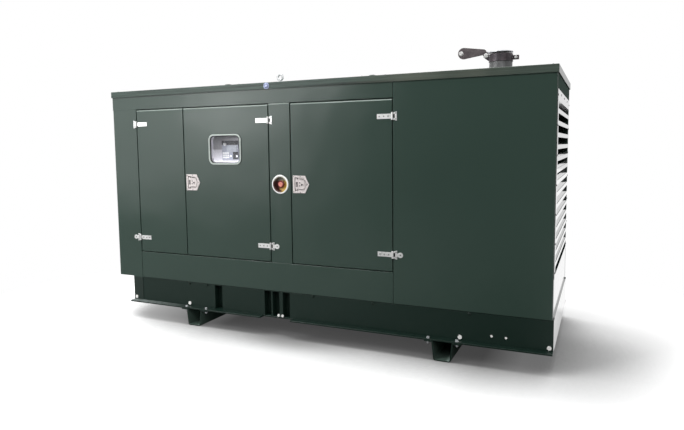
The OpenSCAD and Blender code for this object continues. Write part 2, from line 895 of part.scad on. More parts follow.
// The disc over the pipe, its arm, and the arm's round end that weighs the cap open or shut
module rain_cap() {
  color(pipe_grey) difference() {
    union() {
      translate([pipe_x, 0, mouth_z + cap_gap]) cylinder(r = cap_r, h = cap_t);
      translate([0, arm_t / 2, 0]) rotate([90, 0, 0]) linear_extrude(arm_t)
        translate([cap_pin_x - arm_neck_in, mouth_z + cap_gap])
          square([arm_neck_in + cap_pin_out + arm_over_disc, cap_t + arm_bar_t]);
      translate([0, arm_t / 2, 0]) rotate([90, 0, 0]) linear_extrude(arm_t) {
        tapered_bar([cap_pin_x - arm_l, arm_z], arm_end_r, [cap_pin_x - arm_neck_in, arm_z], arm_neck_r);
        tapered_bar([cap_pin_x, cap_pin_z], cap_lug_r, [cap_pin_x - arm_neck_in, arm_z], arm_neck_r - 1);
      }
    }
    translate([cap_pin_x, 0, cap_pin_z]) rotate([90, 0, 0])
      cylinder(r = cap_pin_r + pin_slack, h = 2 * arm_t, center = true);
  }
}

// Eyes --------------------------------------------------------------------------------------

module roof_eye() {
  ring_low = roof_eye_z - roof_eye_r;
  color(grey) {
    translate([roof_eye_x, 0, roof_z]) cylinder(r = roof_eye_base_r, h = roof_eye_base_t);
    translate([roof_eye_x, 0, roof_z]) cylinder(r = roof_eye_bar, h = ring_low + roof_eye_bar / 2 - roof_z);
    translate([roof_eye_x, 0, roof_eye_z]) rotate([90, 0, 0]) rotate_extrude()
      translate([roof_eye_r - roof_eye_bar, 0]) circle(roof_eye_bar);
  }
}

// A domed bolt and its washer on the roof's lip
module lip_bolt() {
  color(steel) translate([lip_bolt_x, face_y - lip_out, lip_bolt_z]) rotate([90, 0, 0]) {
    cylinder(r = lip_washer_r, h = lip_washer_t);
    cylinder(r = lip_head_r, h = lip_washer_t + lip_head_t / 2);
    translate([0, 0, lip_washer_t + lip_head_t / 2])
      cylinder(r1 = lip_head_r, r2 = lip_head_top_r, h = lip_head_t / 2);
  }
}

skid_webs();
skid_top_flanges();
skid_bottom_flanges();
skid_ends();
skid_plugs();
foot_left();
foot_right();
deck();
front_sill();
front_header();
front_post_left();
front_post_centre();
front_panel();
rear_wall();
rear_doors();
rear_hinges();
rear_latches();
end_wall_left();
end_wall_right();
louvre_left();
louvre_right();
roof();
narrow_door();
window_door();
plain_door();
narrow_door_straps();
window_door_straps();
plain_door_straps();
hinge_leaves();
window_rim();
window_glass();
window_door_latch();
plain_door_latch();
window_door_paddle();
plain_door_paddle();
stop_ring();
stop_plate();
stop_button();
control_cabinet();
controller();
exhaust_pipe();
exhaust_collar();
rain_cap();
roof_eye();
lip_bolt();
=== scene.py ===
"""Silent generator set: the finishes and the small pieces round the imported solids."""
import json
import math

import bmesh
import bpy
from mathutils import Matrix, Vector

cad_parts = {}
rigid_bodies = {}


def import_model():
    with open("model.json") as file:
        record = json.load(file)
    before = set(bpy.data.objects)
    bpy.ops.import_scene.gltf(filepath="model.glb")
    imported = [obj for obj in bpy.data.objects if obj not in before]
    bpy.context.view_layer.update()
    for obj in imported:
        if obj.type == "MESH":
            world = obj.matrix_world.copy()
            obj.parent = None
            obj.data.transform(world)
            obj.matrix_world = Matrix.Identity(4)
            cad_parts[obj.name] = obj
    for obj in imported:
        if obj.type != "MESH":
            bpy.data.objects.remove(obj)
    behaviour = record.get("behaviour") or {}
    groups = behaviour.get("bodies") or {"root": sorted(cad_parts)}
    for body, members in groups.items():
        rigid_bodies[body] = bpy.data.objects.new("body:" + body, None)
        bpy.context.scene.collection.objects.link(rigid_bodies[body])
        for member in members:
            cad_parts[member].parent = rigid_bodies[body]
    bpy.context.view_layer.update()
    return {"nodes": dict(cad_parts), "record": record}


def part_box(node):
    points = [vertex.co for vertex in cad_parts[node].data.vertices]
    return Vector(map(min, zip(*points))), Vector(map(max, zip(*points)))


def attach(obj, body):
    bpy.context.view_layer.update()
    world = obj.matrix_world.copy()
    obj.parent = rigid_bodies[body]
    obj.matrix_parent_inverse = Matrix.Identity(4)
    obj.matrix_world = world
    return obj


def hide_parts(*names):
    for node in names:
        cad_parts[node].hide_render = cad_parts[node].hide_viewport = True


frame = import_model()
nodes = frame["nodes"]
MM = 0.001


def edges_of(node):
    """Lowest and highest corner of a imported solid, in millimetres."""
    low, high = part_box(node)
    return low / MM, high / MM


# --- Camera

CAMERA_AT = (2.058, -4.429, 1.463)
CAMERA_YAW = 24.48
CAMERA_PITCH = -5.15
CAMERA_ROLL = -0.67
CAMERA_LENS = 30.41
CAMERA_SHIFT = (0.0039, -0.0257)


def add_camera():
    lens = bpy.data.cameras.new("camera")
    lens.sensor_width = 36
    lens.lens = CAMERA_LENS
    lens.shift_x, lens.shift_y = CAMERA_SHIFT
    camera = bpy.data.objects.new("camera", lens)
    bpy.context.scene.collection.objects.link(camera)
    turn = Matrix.Rotation(math.radians(CAMERA_YAW), 4, "Z")
    tilt = Matrix.Rotation(math.radians(90 + CAMERA_PITCH), 4, "X")
    roll = Matrix.Rotation(math.radians(CAMERA_ROLL), 4, "Z")
    camera.matrix_world = Matrix.Translation(CAMERA_AT) @ turn @ tilt @ roll
    bpy.context.scene.camera = camera


# --- Modelling, in millimetres

RIGHT, OUT, IN = (1, 0, 0), (0, -1, 0), (0, 1, 0)
DOWN, UP = (0, 0, -1), (0, 0, 1)
X, Y, Z = 0, 1, 2
SMOOTH_BELOW = 38


def only(*pieces):
    """Selects these pieces alone, or none. The first one is the one worked on."""
    bpy.ops.object.select_all(action="DESELECT")
    for piece in pieces:
        piece.select_set(True)
    if pieces:
        bpy.context.view_layer.objects.active = pieces[0]


def settle(name):
    """Names the new piece and puts its place into its mesh."""
    bpy.ops.object.transform_apply(location=True, rotation=True, scale=True)
    bpy.context.object.name = name
    return bpy.context.object


def block(name, low, high):
    only()
    low, high = Vector(low) * MM, Vector(high) * MM
    bpy.ops.mesh.primitive_cube_add(size=1, location=(low + high) / 2)
    bpy.context.object.scale = high - low
    return settle(name)


def rod(name, start, axis, radius, length, sides=32, end_radius=None):
    """A round bar from the middle of its first end."""
    only()
    axis = Vector(axis)
    bpy.ops.mesh.primitive_cone_add(
        vertices=sides, radius1=radius * MM, depth=length * MM,
        radius2=(radius if end_radius is None else end_radius) * MM,
        location=(Vector(start) + axis * length / 2) * MM,
        rotation=axis.to_track_quat("Z", "Y").to_euler())
    return settle(name)


def hoop(name, middle, axis, radius, wire, sides):
    """A round wire bent into a ring."""
    only()
    bpy.ops.mesh.primitive_torus_add(
        major_radius=radius * MM, minor_radius=wire * MM, major_segments=sides, minor_segments=10,
        location=Vector(middle) * MM, rotation=Vector(axis).to_track_quat("Z", "Y").to_euler())
    return settle(name)


def choose(piece, wanted, kind="FACE"):
    """Opens the piece in edit mode with the wanted faces or edges selected."""
    if bpy.context.mode != "EDIT_MESH":
        only(piece)
        bpy.ops.object.mode_set(mode="EDIT")
    bpy.ops.mesh.select_mode(type=kind)
    bpy.ops.mesh.select_all(action="DESELECT")
    mesh = bmesh.from_edit_mesh(piece.data)
    mesh.normal_update()
    for item in mesh.faces if kind == "FACE" else mesh.edges:
        item.select_set(bool(wanted(item)))
    bmesh.update_edit_mesh(piece.data)


def close_edit():
    bpy.ops.object.mode_set(mode="OBJECT")


def facing(direction):
    return lambda face: face.normal.dot(Vector(direction)) > 0.9


def along(direction):
    """Edges that run in a direction."""
    def wanted(edge):
        start, end = (vertex.co for vertex in edge.verts)
        return start != end and abs((end - start).normalized().dot(Vector(direction))) > 0.99
    return wanted


def bevel_edges(piece, wanted, radius, steps):
    choose(piece, wanted, "EDGE")
    bpy.ops.mesh.bevel(offset=radius * MM, segments=steps, affect="EDGES")
    close_edit()


def inset_then_push(piece, direction, inset, push, taper=None):
    """Insets the faces that look one way, then pushes them out, or in if push is below zero."""
    choose(piece, facing(direction))
    bpy.ops.mesh.inset(thickness=inset * MM)
    bpy.ops.mesh.extrude_region_move(TRANSFORM_OT_translate={"value": Vector(direction) * push * MM})
    if taper is not None:
        bpy.ops.transform.resize(value=taper)
    close_edit()


def tunnel(piece, direction, inset):
    """Opens a hole through a piece, with a margin all round."""
    choose(piece, lambda face: abs(face.normal.dot(Vector(direction))) > 0.9)
    bpy.ops.mesh.inset(thickness=inset * MM, use_individual=True)
    bpy.ops.mesh.bridge_edge_loops()
    close_edit()


def round_edges(piece, width, steps, angle=30):
    """Rounds off every edge sharper than the angle."""
    only(piece)
    edges = piece.modifiers.new("edges", "BEVEL")
    edges.width = width * MM
    edges.segments = steps
    edges.limit_method = "ANGLE"
    edges.angle_limit = math.radians(angle)
    bpy.ops.object.modifier_apply(modifier=edges.name)


def plate(name, low, high, soft, steps, panel=None, hole=None, way=OUT):
    """A block with soft edges, which may have a sunk or raised panel, or a hole, on one side."""
    piece = block(name, low, high)
    if panel is not None:
        inset_then_push(piece, way, *panel)
    if hole is not None:
        tunnel(piece, way, hole)
    round_edges(piece, soft, steps)
    return piece


def join(*pieces):
    only(*pieces)
    if len(pieces) > 1:
        bpy.ops.object.join()
    return pieces[0]


def repeat(piece, moves):
    """Copies a piece, moved by each of these, and joins the copies to it."""
    copies = [piece]
    for move in moves:
        only(piece)
        bpy.ops.object.duplicate()
        bpy.context.object.location = Vector(move) * MM
        copies.append(settle(piece.name + "_copy"))
    return join(*copies)


def mirrored(piece, axis):
    """A mirror-image copy on the other side of the middle, joined to the piece."""
    only(piece)
    bpy.ops.object.duplicate()
    bpy.context.object.scale[axis] = -1
    twin = settle(piece.name + "_twin")
    choose(twin, lambda face: True)
    bpy.ops.mesh.normals_make_consistent(inside=False)
    close_edit()
    return join(piece, twin)


def fit(piece, body, finish, stands_for=()):
    """Smooths a finished piece, gives it its finish and hangs it on its body."""
    only(piece)
    bpy.ops.object.shade_smooth_by_angle(angle=math.radians(SMOOTH_BELOW))
    flats = piece.modifiers.new("flats", "WEIGHTED_NORMAL")
    flats.keep_sharp = True
    flats.weight = 100
    bpy.ops.object.modifier_apply(modifier=flats.name)
    piece.data.materials.clear()
    piece.data.materials.append(finish)
    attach(piece, body)
    if stands_for:
        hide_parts(*stands_for)
    return piece


# --- Node helpers

def feed(node, inputs):
    """Gives a node its inputs. Each is a plain value, or another node's output to link."""
    for key, value in inputs.items():
        if isinstance(value, bpy.types.NodeSocket):
            node.id_data.links.new(value, node.inputs[key])
        else:
            node.inputs[key].default_value = value
    return node


def add(home, kind, inputs=None, **settings):
    """Adds a node to a tree, or to the tree that a node's output belongs to."""
    made = home.id_data.nodes.new(kind)
    for name, value in settings.items():
        setattr(made, name, value)
    return feed(made, inputs or {})


def clean_tree(owner):
    """Empties the node tree of a material or of the world."""
    owner.use_nodes = True
    owner.node_tree.nodes.clear()
    return owner.node_tree


def place(tree):
    """Where a point of the piece is, in metres."""
    return add(tree, "ShaderNodeTexCoord").outputs["Object"]


def surface(recipe):
    """Turns a recipe into a maker of materials. It returns what the shader's inputs get."""
    def make(name, *choices, **more):
        material = bpy.data.materials.new(name)
        coords = place(clean_tree(material))
        shader = add(coords, "ShaderNodeBsdfPrincipled")
        add(coords, "ShaderNodeOutputMaterial", {"Surface": shader.outputs["BSDF"]})
        feed(shader, recipe(coords, *choices, **more))
        return material
    return make


def noise(coords, scale, detail=3.0, rough=0.5):
    return add(coords, "ShaderNodeTexNoise",
               {"Vector": coords, "Scale": scale, "Detail": detail, "Roughness": rough}).outputs["Fac"]


def spread(value, low, high, from_low=0.35, from_high=0.65, curve="LINEAR"):
    """Maps a pattern's middle range to another range."""
    return add(value, "ShaderNodeMapRange",
               {"Value": value, "From Min": from_low, "From Max": from_high,
                "To Min": low, "To Max": high}, interpolation_type=curve).outputs["Result"]


def blend_colour(amount, first, second):
    ends = [end if isinstance(end, bpy.types.NodeSocket) else (*end, 1) for end in (first, second)]
    return add(amount, "ShaderNodeMix", {0: amount, 6: ends[0], 7: ends[1]}, data_type="RGBA").outputs[2]


def calc(operation, *values):
    home = next(value for value in values if isinstance(value, bpy.types.NodeSocket))
    return add(home, "ShaderNodeMath", dict(enumerate(values)), operation=operation).outputs[0]


def axes(coords):
    return add(coords, "ShaderNodeSeparateXYZ", {"Vector": coords}).outputs


def normals(coords):
    return axes(add(coords, "ShaderNodeNewGeometry").outputs["Normal"])


def stretched(coords, scale):
    return add(coords, "ShaderNodeMapping", {"Vector": coords, "Scale": scale}).outputs["Vector"]


def distance(coords, point, scale=(1, 0, 1)):
    """Distance from a line or a point, in metres. A scale of 0 leaves a direction out."""
    shift = [-value * size for value, size in zip(point, scale)]
    where = add(coords, "ShaderNodeMapping", {"Vector": coords, "Location": shift, "Scale": scale})
    return add(coords, "ShaderNodeVectorMath", {"Vector": where.outputs["Vector"]},
               operation="LENGTH").outputs["Value"]


def bump(height, depth, strength, normal=None):
    inputs = {"Height": height, "Distance": depth, "Strength": strength}
    if normal is not None:
        inputs["Normal"] = normal
    return add(height, "ShaderNodeBump", inputs).outputs["Normal"]


def rounded(coords, radius):
    """Normals that round off a piece's edges."""
    return add(coords, "ShaderNodeBevel", {"Radius": radius}, samples=4).outputs["Normal"]


def scaled(colour, share):
    return [channel * share for channel in colour]


# --- Finishes

GREEN = (0.026, 0.050, 0.039)
GREEN_GLOSS, SHEET_WAVES = 0.28, 0.008
SKID_GREEN = (0.007, 0.019, 0.014)
ROOF_GREEN = (0.037, 0.058, 0.048)
DUST = (0.15, 0.16, 0.14)
BLEACHED = (0.105, 0.118, 0.094)
ENAMEL = {"gloss": 0.36, "waves": 0.006, "dusty": 0.035, "low": 0.0, "high": 0.45, "shine": 0.32}


@surface
def powder_coat(coords, colour, gloss, waves, dusty=0.03, low=0.3, high=1.1, shine=0.5,
                tint=None, wear=None):
    """Sprayed coat on sheet: orange peel, slow waves in the sheet, and dust low down.

    A tint takes the place of the colour under the dust, and an overlay that of the dusty colour."""
    shade = blend_colour(noise(coords, 1.1, 1.0), scaled(colour, 0.94), scaled(colour, 1.06))
    if tint is not None:
        shade = tint(coords, shade)
    near_floor = spread(axes(coords)["Z"], 1.0, 0.0, low, high)
    speck = spread(noise(coords, 24.0, 5.0, 0.6), 0.1, 1.0, 0.35, 0.8)
    settled = calc("MAXIMUM", calc("MULTIPLY", normals(coords)["Z"], 0.14), 0.0)
    dust = calc("MULTIPLY", speck, calc("ADD", calc("MULTIPLY", near_floor, dusty), settled))
    dusted = blend_colour(dust, shade, DUST)
    if wear is not None:
        dusted = wear(coords, dusted)
    sheet = bump(noise(coords, 2.6, 1.0), waves, 1.0, rounded(coords, 0.003))
    peel = bump(noise(coords, 300.0, 2.0), 0.00006, 0.4, sheet)
    return {"Base Color": dusted, "Roughness": gloss, "Normal": peel, "Specular IOR Level": shine}


def post_coat():
    """The left post's coat. Its tail below the sill is painted with the skid."""
    tail = edges_of("front_sill")[0].z * MM

    def tint(coords, shade):
        above = spread(axes(coords)["Z"], 0.0, 1.0, tail - 0.01, tail)
        return blend_colour(above, SKID_GREEN, shade)
    return powder_coat("left_post_coat", GREEN, GREEN_GLOSS, SHEET_WAVES, tint=tint)


def roof_coat():
    """The roof's coat: streaks drawn out along it, and a bleached patch right of its middle."""
    def tint(coords, _):
        drawn_out = stretched(coords, (0.7, 0.7, 42.0))
        streak = spread(noise(drawn_out, 1.6, 3.0, 0.6), 0.0, 1.0)
        shade = blend_colour(streak, scaled(ROOF_GREEN, 0.5), scaled(ROOF_GREEN, 1.5))
        across = axes(coords)["X"]
        middle = calc("MULTIPLY", spread(across, 0.0, 1.0, 0.4, 0.9),
                      spread(across, 1.0, 0.3, 1.2, 1.6))
        cloudy = spread(noise(coords, 2.4, 3.0), 0.4, 1.0)
        return blend_colour(calc("MULTIPLY", cloudy, middle), shade, BLEACHED)
    return powder_coat("roof_powder_coat", ROOF_GREEN, 0.36, 0.006, shine=0.33, tint=tint)


def foot_coat(foot):
    """Enamel painted lighter on the outer sides as painted light, and primed grey inside the foot's open
    channel: pale on the right wall and floor as painted light, dark on the left as painted shade.
    """
    low, high = edges_of(foot)
    middle = (low.x + high.x) / 2 * MM

    def wear(coords, painted):
        spot, way = axes(coords), normals(coords)
        inward = calc("MULTIPLY", calc("SUBTRACT", middle, spot["X"]), way["X"])
        walls = spread(inward, 0.0, 1.0, 0.005, 0.02)
        trough = calc("MULTIPLY", spread(way["Z"], 0.0, 1.0, 0.2, 0.4),
                      spread(spot["Z"], 1.0, 0.0, 0.03, 0.05))
        # Painted light and shade: inside, the right side of the channel is pale and the left side dark.
        lit_right = spread(spot["X"], 0.0, 1.0, middle + 0.02, middle + 0.05)
        primer_lit_and_shaded = blend_colour(lit_right, (0.06, 0.09, 0.075), (0.30, 0.37, 0.34))
        # Painted light: the outer side faces turn a lighter green.
        side_light = spread(inward, 1.0, 0.0, -0.03, -0.01)
        side_lit = blend_colour(side_light, painted, (0.05, 0.08, 0.065))
        return blend_colour(calc("MAXIMUM", walls, trough), side_lit, primer_lit_and_shaded)
    return powder_coat(foot + "_coat", SKID_GREEN, **ENAMEL, wear=wear)


@surface
def ledge_highlight(coords):
    """The skid's ledge: enamel with a painted highlight that grows towards its left end, in broken pale
    marks.
    """
    leftward = spread(axes(coords)["X"], 1.0, 0.0, -1.40, -1.05)
    marks = spread(noise(coords, 30.0, 4.0, 0.7), 0.4, 1.0)
    rubbed = blend_colour(calc("MULTIPLY", leftward, marks), SKID_GREEN, (0.20, 0.23, 0.22))
    return {"Base Color": rubbed, "Roughness": 0.4, "Specular IOR Level": 0.3}


@surface
def end_paint(coords, specular, coat, coat_ior):
    """The glossier coat of the louvred ends and of the roof's end lips."""
    return {
        "Base Color": blend_colour(noise(coords, 2.0, 2.0), scaled(GREEN, 0.85), GREEN),
        "Roughness": spread(noise(coords, 9.0, 3.0), 0.05, 0.10),
        "Specular IOR Level": specular, "Coat Weight": coat, "Coat Roughness": 0.06,
        "Coat IOR": coat_ior}


@surface
def matt_coat(coords):
    """Paint that was keyed for a second coat: dull, with fine scratches."""
    scratches = noise(stretched(coords, (1, 1, 14)), 30.0, 5.0, 0.7)
    return {"Base Color": blend_colour(scratches, scaled(GREEN, 1.1), scaled(GREEN, 1.5)),
            "Roughness": spread(scratches, 0.80, 0.95), "Specular IOR Level": 0.12}


@surface
def bare_metal(coords, colour, roughness, metallic=1.0):
    """Bright metal with an upright drawn grain and handling marks."""
    lines = noise(stretched(coords, (1, 1, 30)), 60.0, 3.0, 0.6)
    marks = noise(coords, 24.0, 5.0, 0.7)
    rough = calc("ADD", spread(lines, -0.05, 0.05), spread(marks, roughness - 0.05, roughness + 0.06))
    return {
        "Base Color": blend_colour(spread(marks, 0.0, 1.0), scaled(colour, 0.9), colour),
        "Roughness": rough, "Metallic": metallic,
        "Normal": bump(lines, 0.00006, 0.5, rounded(coords, 0.001))}


@surface
def moulded(coords, colour, roughness=0.35):
    """Moulded plastic or painted plate with a fine grain."""
    tone = spread(noise(coords, 30.0, 3.0), 0.0, 1.0)
    grain = noise(coords, 900.0, 2.0)
    return {
        "Base Color": blend_colour(tone, scaled(colour, 0.93), colour),
        "Roughness": spread(noise(coords, 80.0), roughness - 0.04, roughness + 0.05),
        "Normal": bump(grain, 0.00004, 0.5, rounded(coords, 0.001))}


@surface
def scaled_steel(coords, colour, scale_colour, roughness, metallic=0.55):
    """Exhaust steel, darkened by heat, with scale and a little rust in patches."""
    patches = spread(noise(coords, 14.0, 8.0, 0.7), 0.0, 1.0, 0.42, 0.62)
    pits = noise(coords, 260.0, 6.0, 0.65)
    return {
        "Base Color": blend_colour(patches, colour, scale_colour), "Metallic": metallic,
        "Roughness": spread(noise(coords, 55.0, 6.0), roughness - 0.1, roughness + 0.1),
        "Normal": bump(pits, 0.0003, 0.5, rounded(coords, 0.002))}


@surface
def rubber(coords, colour):
    bloom = spread(noise(coords, 18.0, 5.0, 0.7), 0.0, 1.0)
    return {"Base Color": blend_colour(bloom, colour, scaled(colour, 2.2)),
            "Roughness": spread(bloom, 0.55, 0.75, 0.0, 1.0),
            "Normal": bump(noise(coords, 500.0, 3.0), 0.0001, 0.6)}


@surface
def sound_foam(coords):
    """Charcoal acoustic foam with moulded pyramids and open cells."""
    cells = add(coords, "ShaderNodeTexVoronoi", {"Vector": coords, "Scale": 420.0}).outputs["Distance"]
    peaks = add(coords, "ShaderNodeTexVoronoi", {"Vector": coords, "Scale": 26.0, "Randomness": 0.0},
                feature="SMOOTH_F1").outputs["Distance"]
    tone = spread(noise(coords, 6.0, 6.0, 0.7), 0.0, 1.0)
    return {"Base Color": blend_colour(tone, (0.018, 0.018, 0.020), (0.038, 0.038, 0.040)),
            "Roughness": spread(cells, 0.85, 1.0, 0.0, 1.0), "Specular IOR Level": 0.25,
            "Normal": bump(cells, 0.0006, 0.7, bump(peaks, 0.012, 0.8))}


@surface
def clear_pane(coords):
    """A thin clear pane with light smears."""
    smears = noise(coords, 9.0, 5.0, 0.7)
    return {"Base Color": (0.60, 0.62, 0.64, 1), "Roughness": spread(smears, 0.03, 0.10),
            "Alpha": spread(smears, 0.03, 0.07), "IOR": 1.45, "Specular IOR Level": 0.12}


@surface
def stop_white(coords):
    """White at the ring, and within it a cup painted with light and shade: dark maroon as painted shade
    with the button's red in it, painted gold light at its right, and painted grey light from above.
    """
    spot = axes(coords)
    rim = spread(distance(coords, STOP_AT), 0.0, 1.0, 0.0600, 0.0620)
    mottle = spread(noise(coords, 40.0, 4.0, 0.7), 0.0, 1.0)
    lit_right = spread(spot["X"], 0.0, 1.0, STOP_AT.x, STOP_AT.x + 0.03)
    above = spread(spot["Z"], 0.0, 0.8, STOP_AT.z + 0.016, STOP_AT.z + 0.034)
    # Painted shade in the cup, dark maroon and mottled, with painted gold light at its right and painted
    # grey light at its top.
    cup = blend_colour(mottle, (0.055, 0.020, 0.020), (0.12, 0.06, 0.05))
    cup = blend_colour(lit_right, cup, (0.62, 0.42, 0.10))
    cup = blend_colour(above, cup, (0.40, 0.41, 0.35))
    return {"Base Color": blend_colour(rim, cup, (0.90, 0.90, 0.88)),
            "Roughness": spread(mottle, 0.25, 0.35, 0.0, 1.0), "Normal": rounded(coords, 0.0015)}


@surface
def stop_gold(coords):
    """The gold plate behind the button: turned in rings, with painted maroon shade at its left and painted
    pale light at its top.
    """
    spot = axes(coords)
    turned = calc("SINE", calc("MULTIPLY", distance(coords, STOP_AT), 900.0))
    patch = spread(noise(coords, 36.0, 4.0, 0.7), 0.0, 1.0)
    shaded_left = spread(spot["X"], 1.0, 0.0, STOP_AT.x - 0.030, STOP_AT.x - 0.004)
    above = spread(spot["Z"], 0.0, 1.0, STOP_AT.z + 0.020, STOP_AT.z + 0.036)
    tone = blend_colour(patch, (0.50, 0.26, 0.03), (0.92, 0.66, 0.18))
    # Painted maroon shade at the left, and painted pale light at the top.
    tone = blend_colour(shaded_left, tone, (0.085, 0.018, 0.022))
    tone = blend_colour(above, tone, (0.42, 0.42, 0.36))
    grooves = spread(turned, 0.0, 0.30, -1.0, 1.0)
    return {"Base Color": blend_colour(grooves, tone, (0.10, 0.05, 0.015)),
            "Roughness": spread(patch, 0.25, 0.4, 0.0, 1.0),
            "Normal": bump(turned, 0.0003, 0.5)}


@surface
def stop_red(coords):
    """A red mushroom: pale red on its top, mottled, and painted deep maroon shade round its side."""
    side = spread(distance(coords, STOP_AT), 0.0, 1.0, 0.016, 0.020)
    top_mottle = spread(noise(coords, 70.0, 4.0, 0.7), 0.0, 1.0)
    top = blend_colour(top_mottle, (0.62, 0.17, 0.13), (0.74, 0.30, 0.24))
    # Painted shade: the side of the mushroom turns deep maroon.
    return {"Base Color": blend_colour(side, top, (0.17, 0.022, 0.025)),
            "Roughness": spread(top_mottle, 0.28, 0.42, 0.0, 1.0), "Normal": rounded(coords, 0.001)}


@surface
def cap_steel(coords):
    """The rain cap: a dark oiled arm, and a bare bright disc over the pipe."""
    pipe_x = PIPE_AT.x * MM
    disc = spread(axes(coords)["X"], 0.0, 1.0, pipe_x - 0.100, pipe_x - 0.088)
    patches = spread(noise(coords, 16.0, 7.0, 0.7), 0.0, 1.0, 0.42, 0.62)
    arm = blend_colour(patches, (0.085, 0.072, 0.076), (0.120, 0.100, 0.104))
    bright = blend_colour(patches, (0.74, 0.74, 0.78), (0.56, 0.56, 0.60))
    pits = noise(coords, 240.0, 6.0, 0.65)
    return {"Base Color": blend_colour(disc, arm, bright),
            "Roughness": spread(patches, 0.36, 0.5, 0.0, 1.0),
            "Metallic": spread(disc, 0.25, 0.6, 0.0, 1.0),
            "Normal": bump(pits, 0.0002, 0.5, rounded(coords, 0.0015))}


@surface
def lit_lamp(coords, colour, strength):
    """A small indicator lamp that glows a little."""
    tone = spread(noise(coords, 120.0, 2.0), 0.85, 1.0)
    return {"Base Color": blend_colour(tone, scaled(colour, 0.7), colour),
            "Emission Color": (*colour, 1), "Emission Strength": strength}


# --- Where things are

button_low, button_high = edges_of("stop_button")
STOP_AT = (button_low + button_high) / 2 * MM
pipe_low, pipe_high = edges_of("exhaust_pipe")
PIPE_AT = (pipe_low + pipe_high) / 2
FACE_Y = edges_of("front_header")[0].y
DOORS = ("narrow_door", "window_door", "plain_door")


# --- Fixings

def screw(name, at, axis, radius, rise):
    """A pan-head screw with a socket in its head."""
    piece = rod(name, at, axis, radius, rise, 24)
    inset_then_push(piece, axis, radius * 0.45, -rise * 0.6)
    round_edges(piece, rise * 0.3, 2, 50)
    return piece


def hex_bolt(name, at, axis, across, washer, head):
    """A hexagon head with a chamfered top on a flat washer."""
    under = rod(name + "_washer", at, axis, washer, head * 0.22, 28)
    round_edges(under, head * 0.06, 1)
    top = rod(name, Vector(at) + Vector(axis) * head * 0.22, axis, across / 1.732, head * 0.78, 6)
    inset_then_push(top, axis, across * 0.06, head * 0.12, (0.92, 0.92, 0.92))
    return join(top, under)


def nut_and_thread(name, at, axis, across, washer, head):
    """A nut with the end of its bolt through it."""
    return join(hex_bolt(name, at, axis, across, washer, head),
                rod(name + "_thread", at, axis, 6, 17, 16))


def slot_shadow_plate(name, at):
    """A small dark plate with a sunk face, in a slot beside a hinge: a painted shadow in the slot."""
    x, y, z = at
    piece = block(name, (x - 4.4, y - 0.8, z - 12.4), (x + 4.4, y, z + 12.4))
    inset_then_push(piece, OUT, 1, -0.3)
    return piece


def fit_at(make, sizes, name, spots, body, finish, mirror=None):
    """Models a fixing at the first spot, from its axis and sizes, and repeats it at the rest."""
    moves = [Vector(spot) - Vector(spots[0]) for spot in spots[1:]]
    piece = repeat(make(name, spots[0], *sizes), moves)
    if mirror is not None:
        piece = mirrored(piece, mirror)
    return fit(piece, body, finish)


# --- Folded sheet

FOLD_ANGLE = 0.6
CROWN_RADIUS = 9
DOUBLES = 0.00002


def on_plane(axis, value):
    """Edges that lie in one plane across an axis."""
    return lambda edge: all(abs(vertex.co[axis] / MM - value) < 0.2 for vertex in edge.verts)


def all_of(*tests):
    return lambda edge: all(test(edge) for test in tests)


def any_of(*tests):
    return lambda edge: any(test(edge) for test in tests)


def folded(node, wanted, radius, body, finish, crown_highlight=None):
    """A copy of a sheet part with its folds rounded, which stands for the solid.

    The front of a part given a highlight coat also rolls back at its top, where the faces that look up and
    out take that paler coat as a painted highlight."""
    only(nodes[node])
    bpy.ops.object.duplicate()
    piece = bpy.context.object
    bpy.ops.object.parent_clear(type="CLEAR_KEEP_TRANSFORM")
    for tag in [key for key in piece.keys() if key.startswith("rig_")]:
        del piece[tag]
    piece.name = node + "_folded"
    choose(piece, lambda face: True)
    bpy.ops.mesh.remove_doubles(threshold=DOUBLES)
    bpy.ops.mesh.dissolve_limited(angle_limit=math.radians(1))
    if crown_highlight is not None:
        top = edges_of(node)[1].z
        bevel_edges(piece, all_of(on_plane(Z, top), on_plane(Y, FACE_Y)), CROWN_RADIUS, 3)
    bevel_edges(piece, lambda edge: edge.calc_face_angle(0) > FOLD_ANGLE and wanted(edge), radius, 3)
    fit(piece, body, finish, (node,))
    # The rounded top's faces that look up and out take the paler coat: a painted highlight.
    if crown_highlight is not None:
        second_coat(piece, crown_highlight, lambda normal: normal.z > 0.15 and normal.y < -0.15)
    return piece


def second_coat(piece, finish, wanted):
    """Gives some faces a finish of their own, chosen by the way they look."""
    piece.data.materials.append(finish)
    for face in piece.data.polygons:
        if wanted(face.normal):
            face.material_index = 1


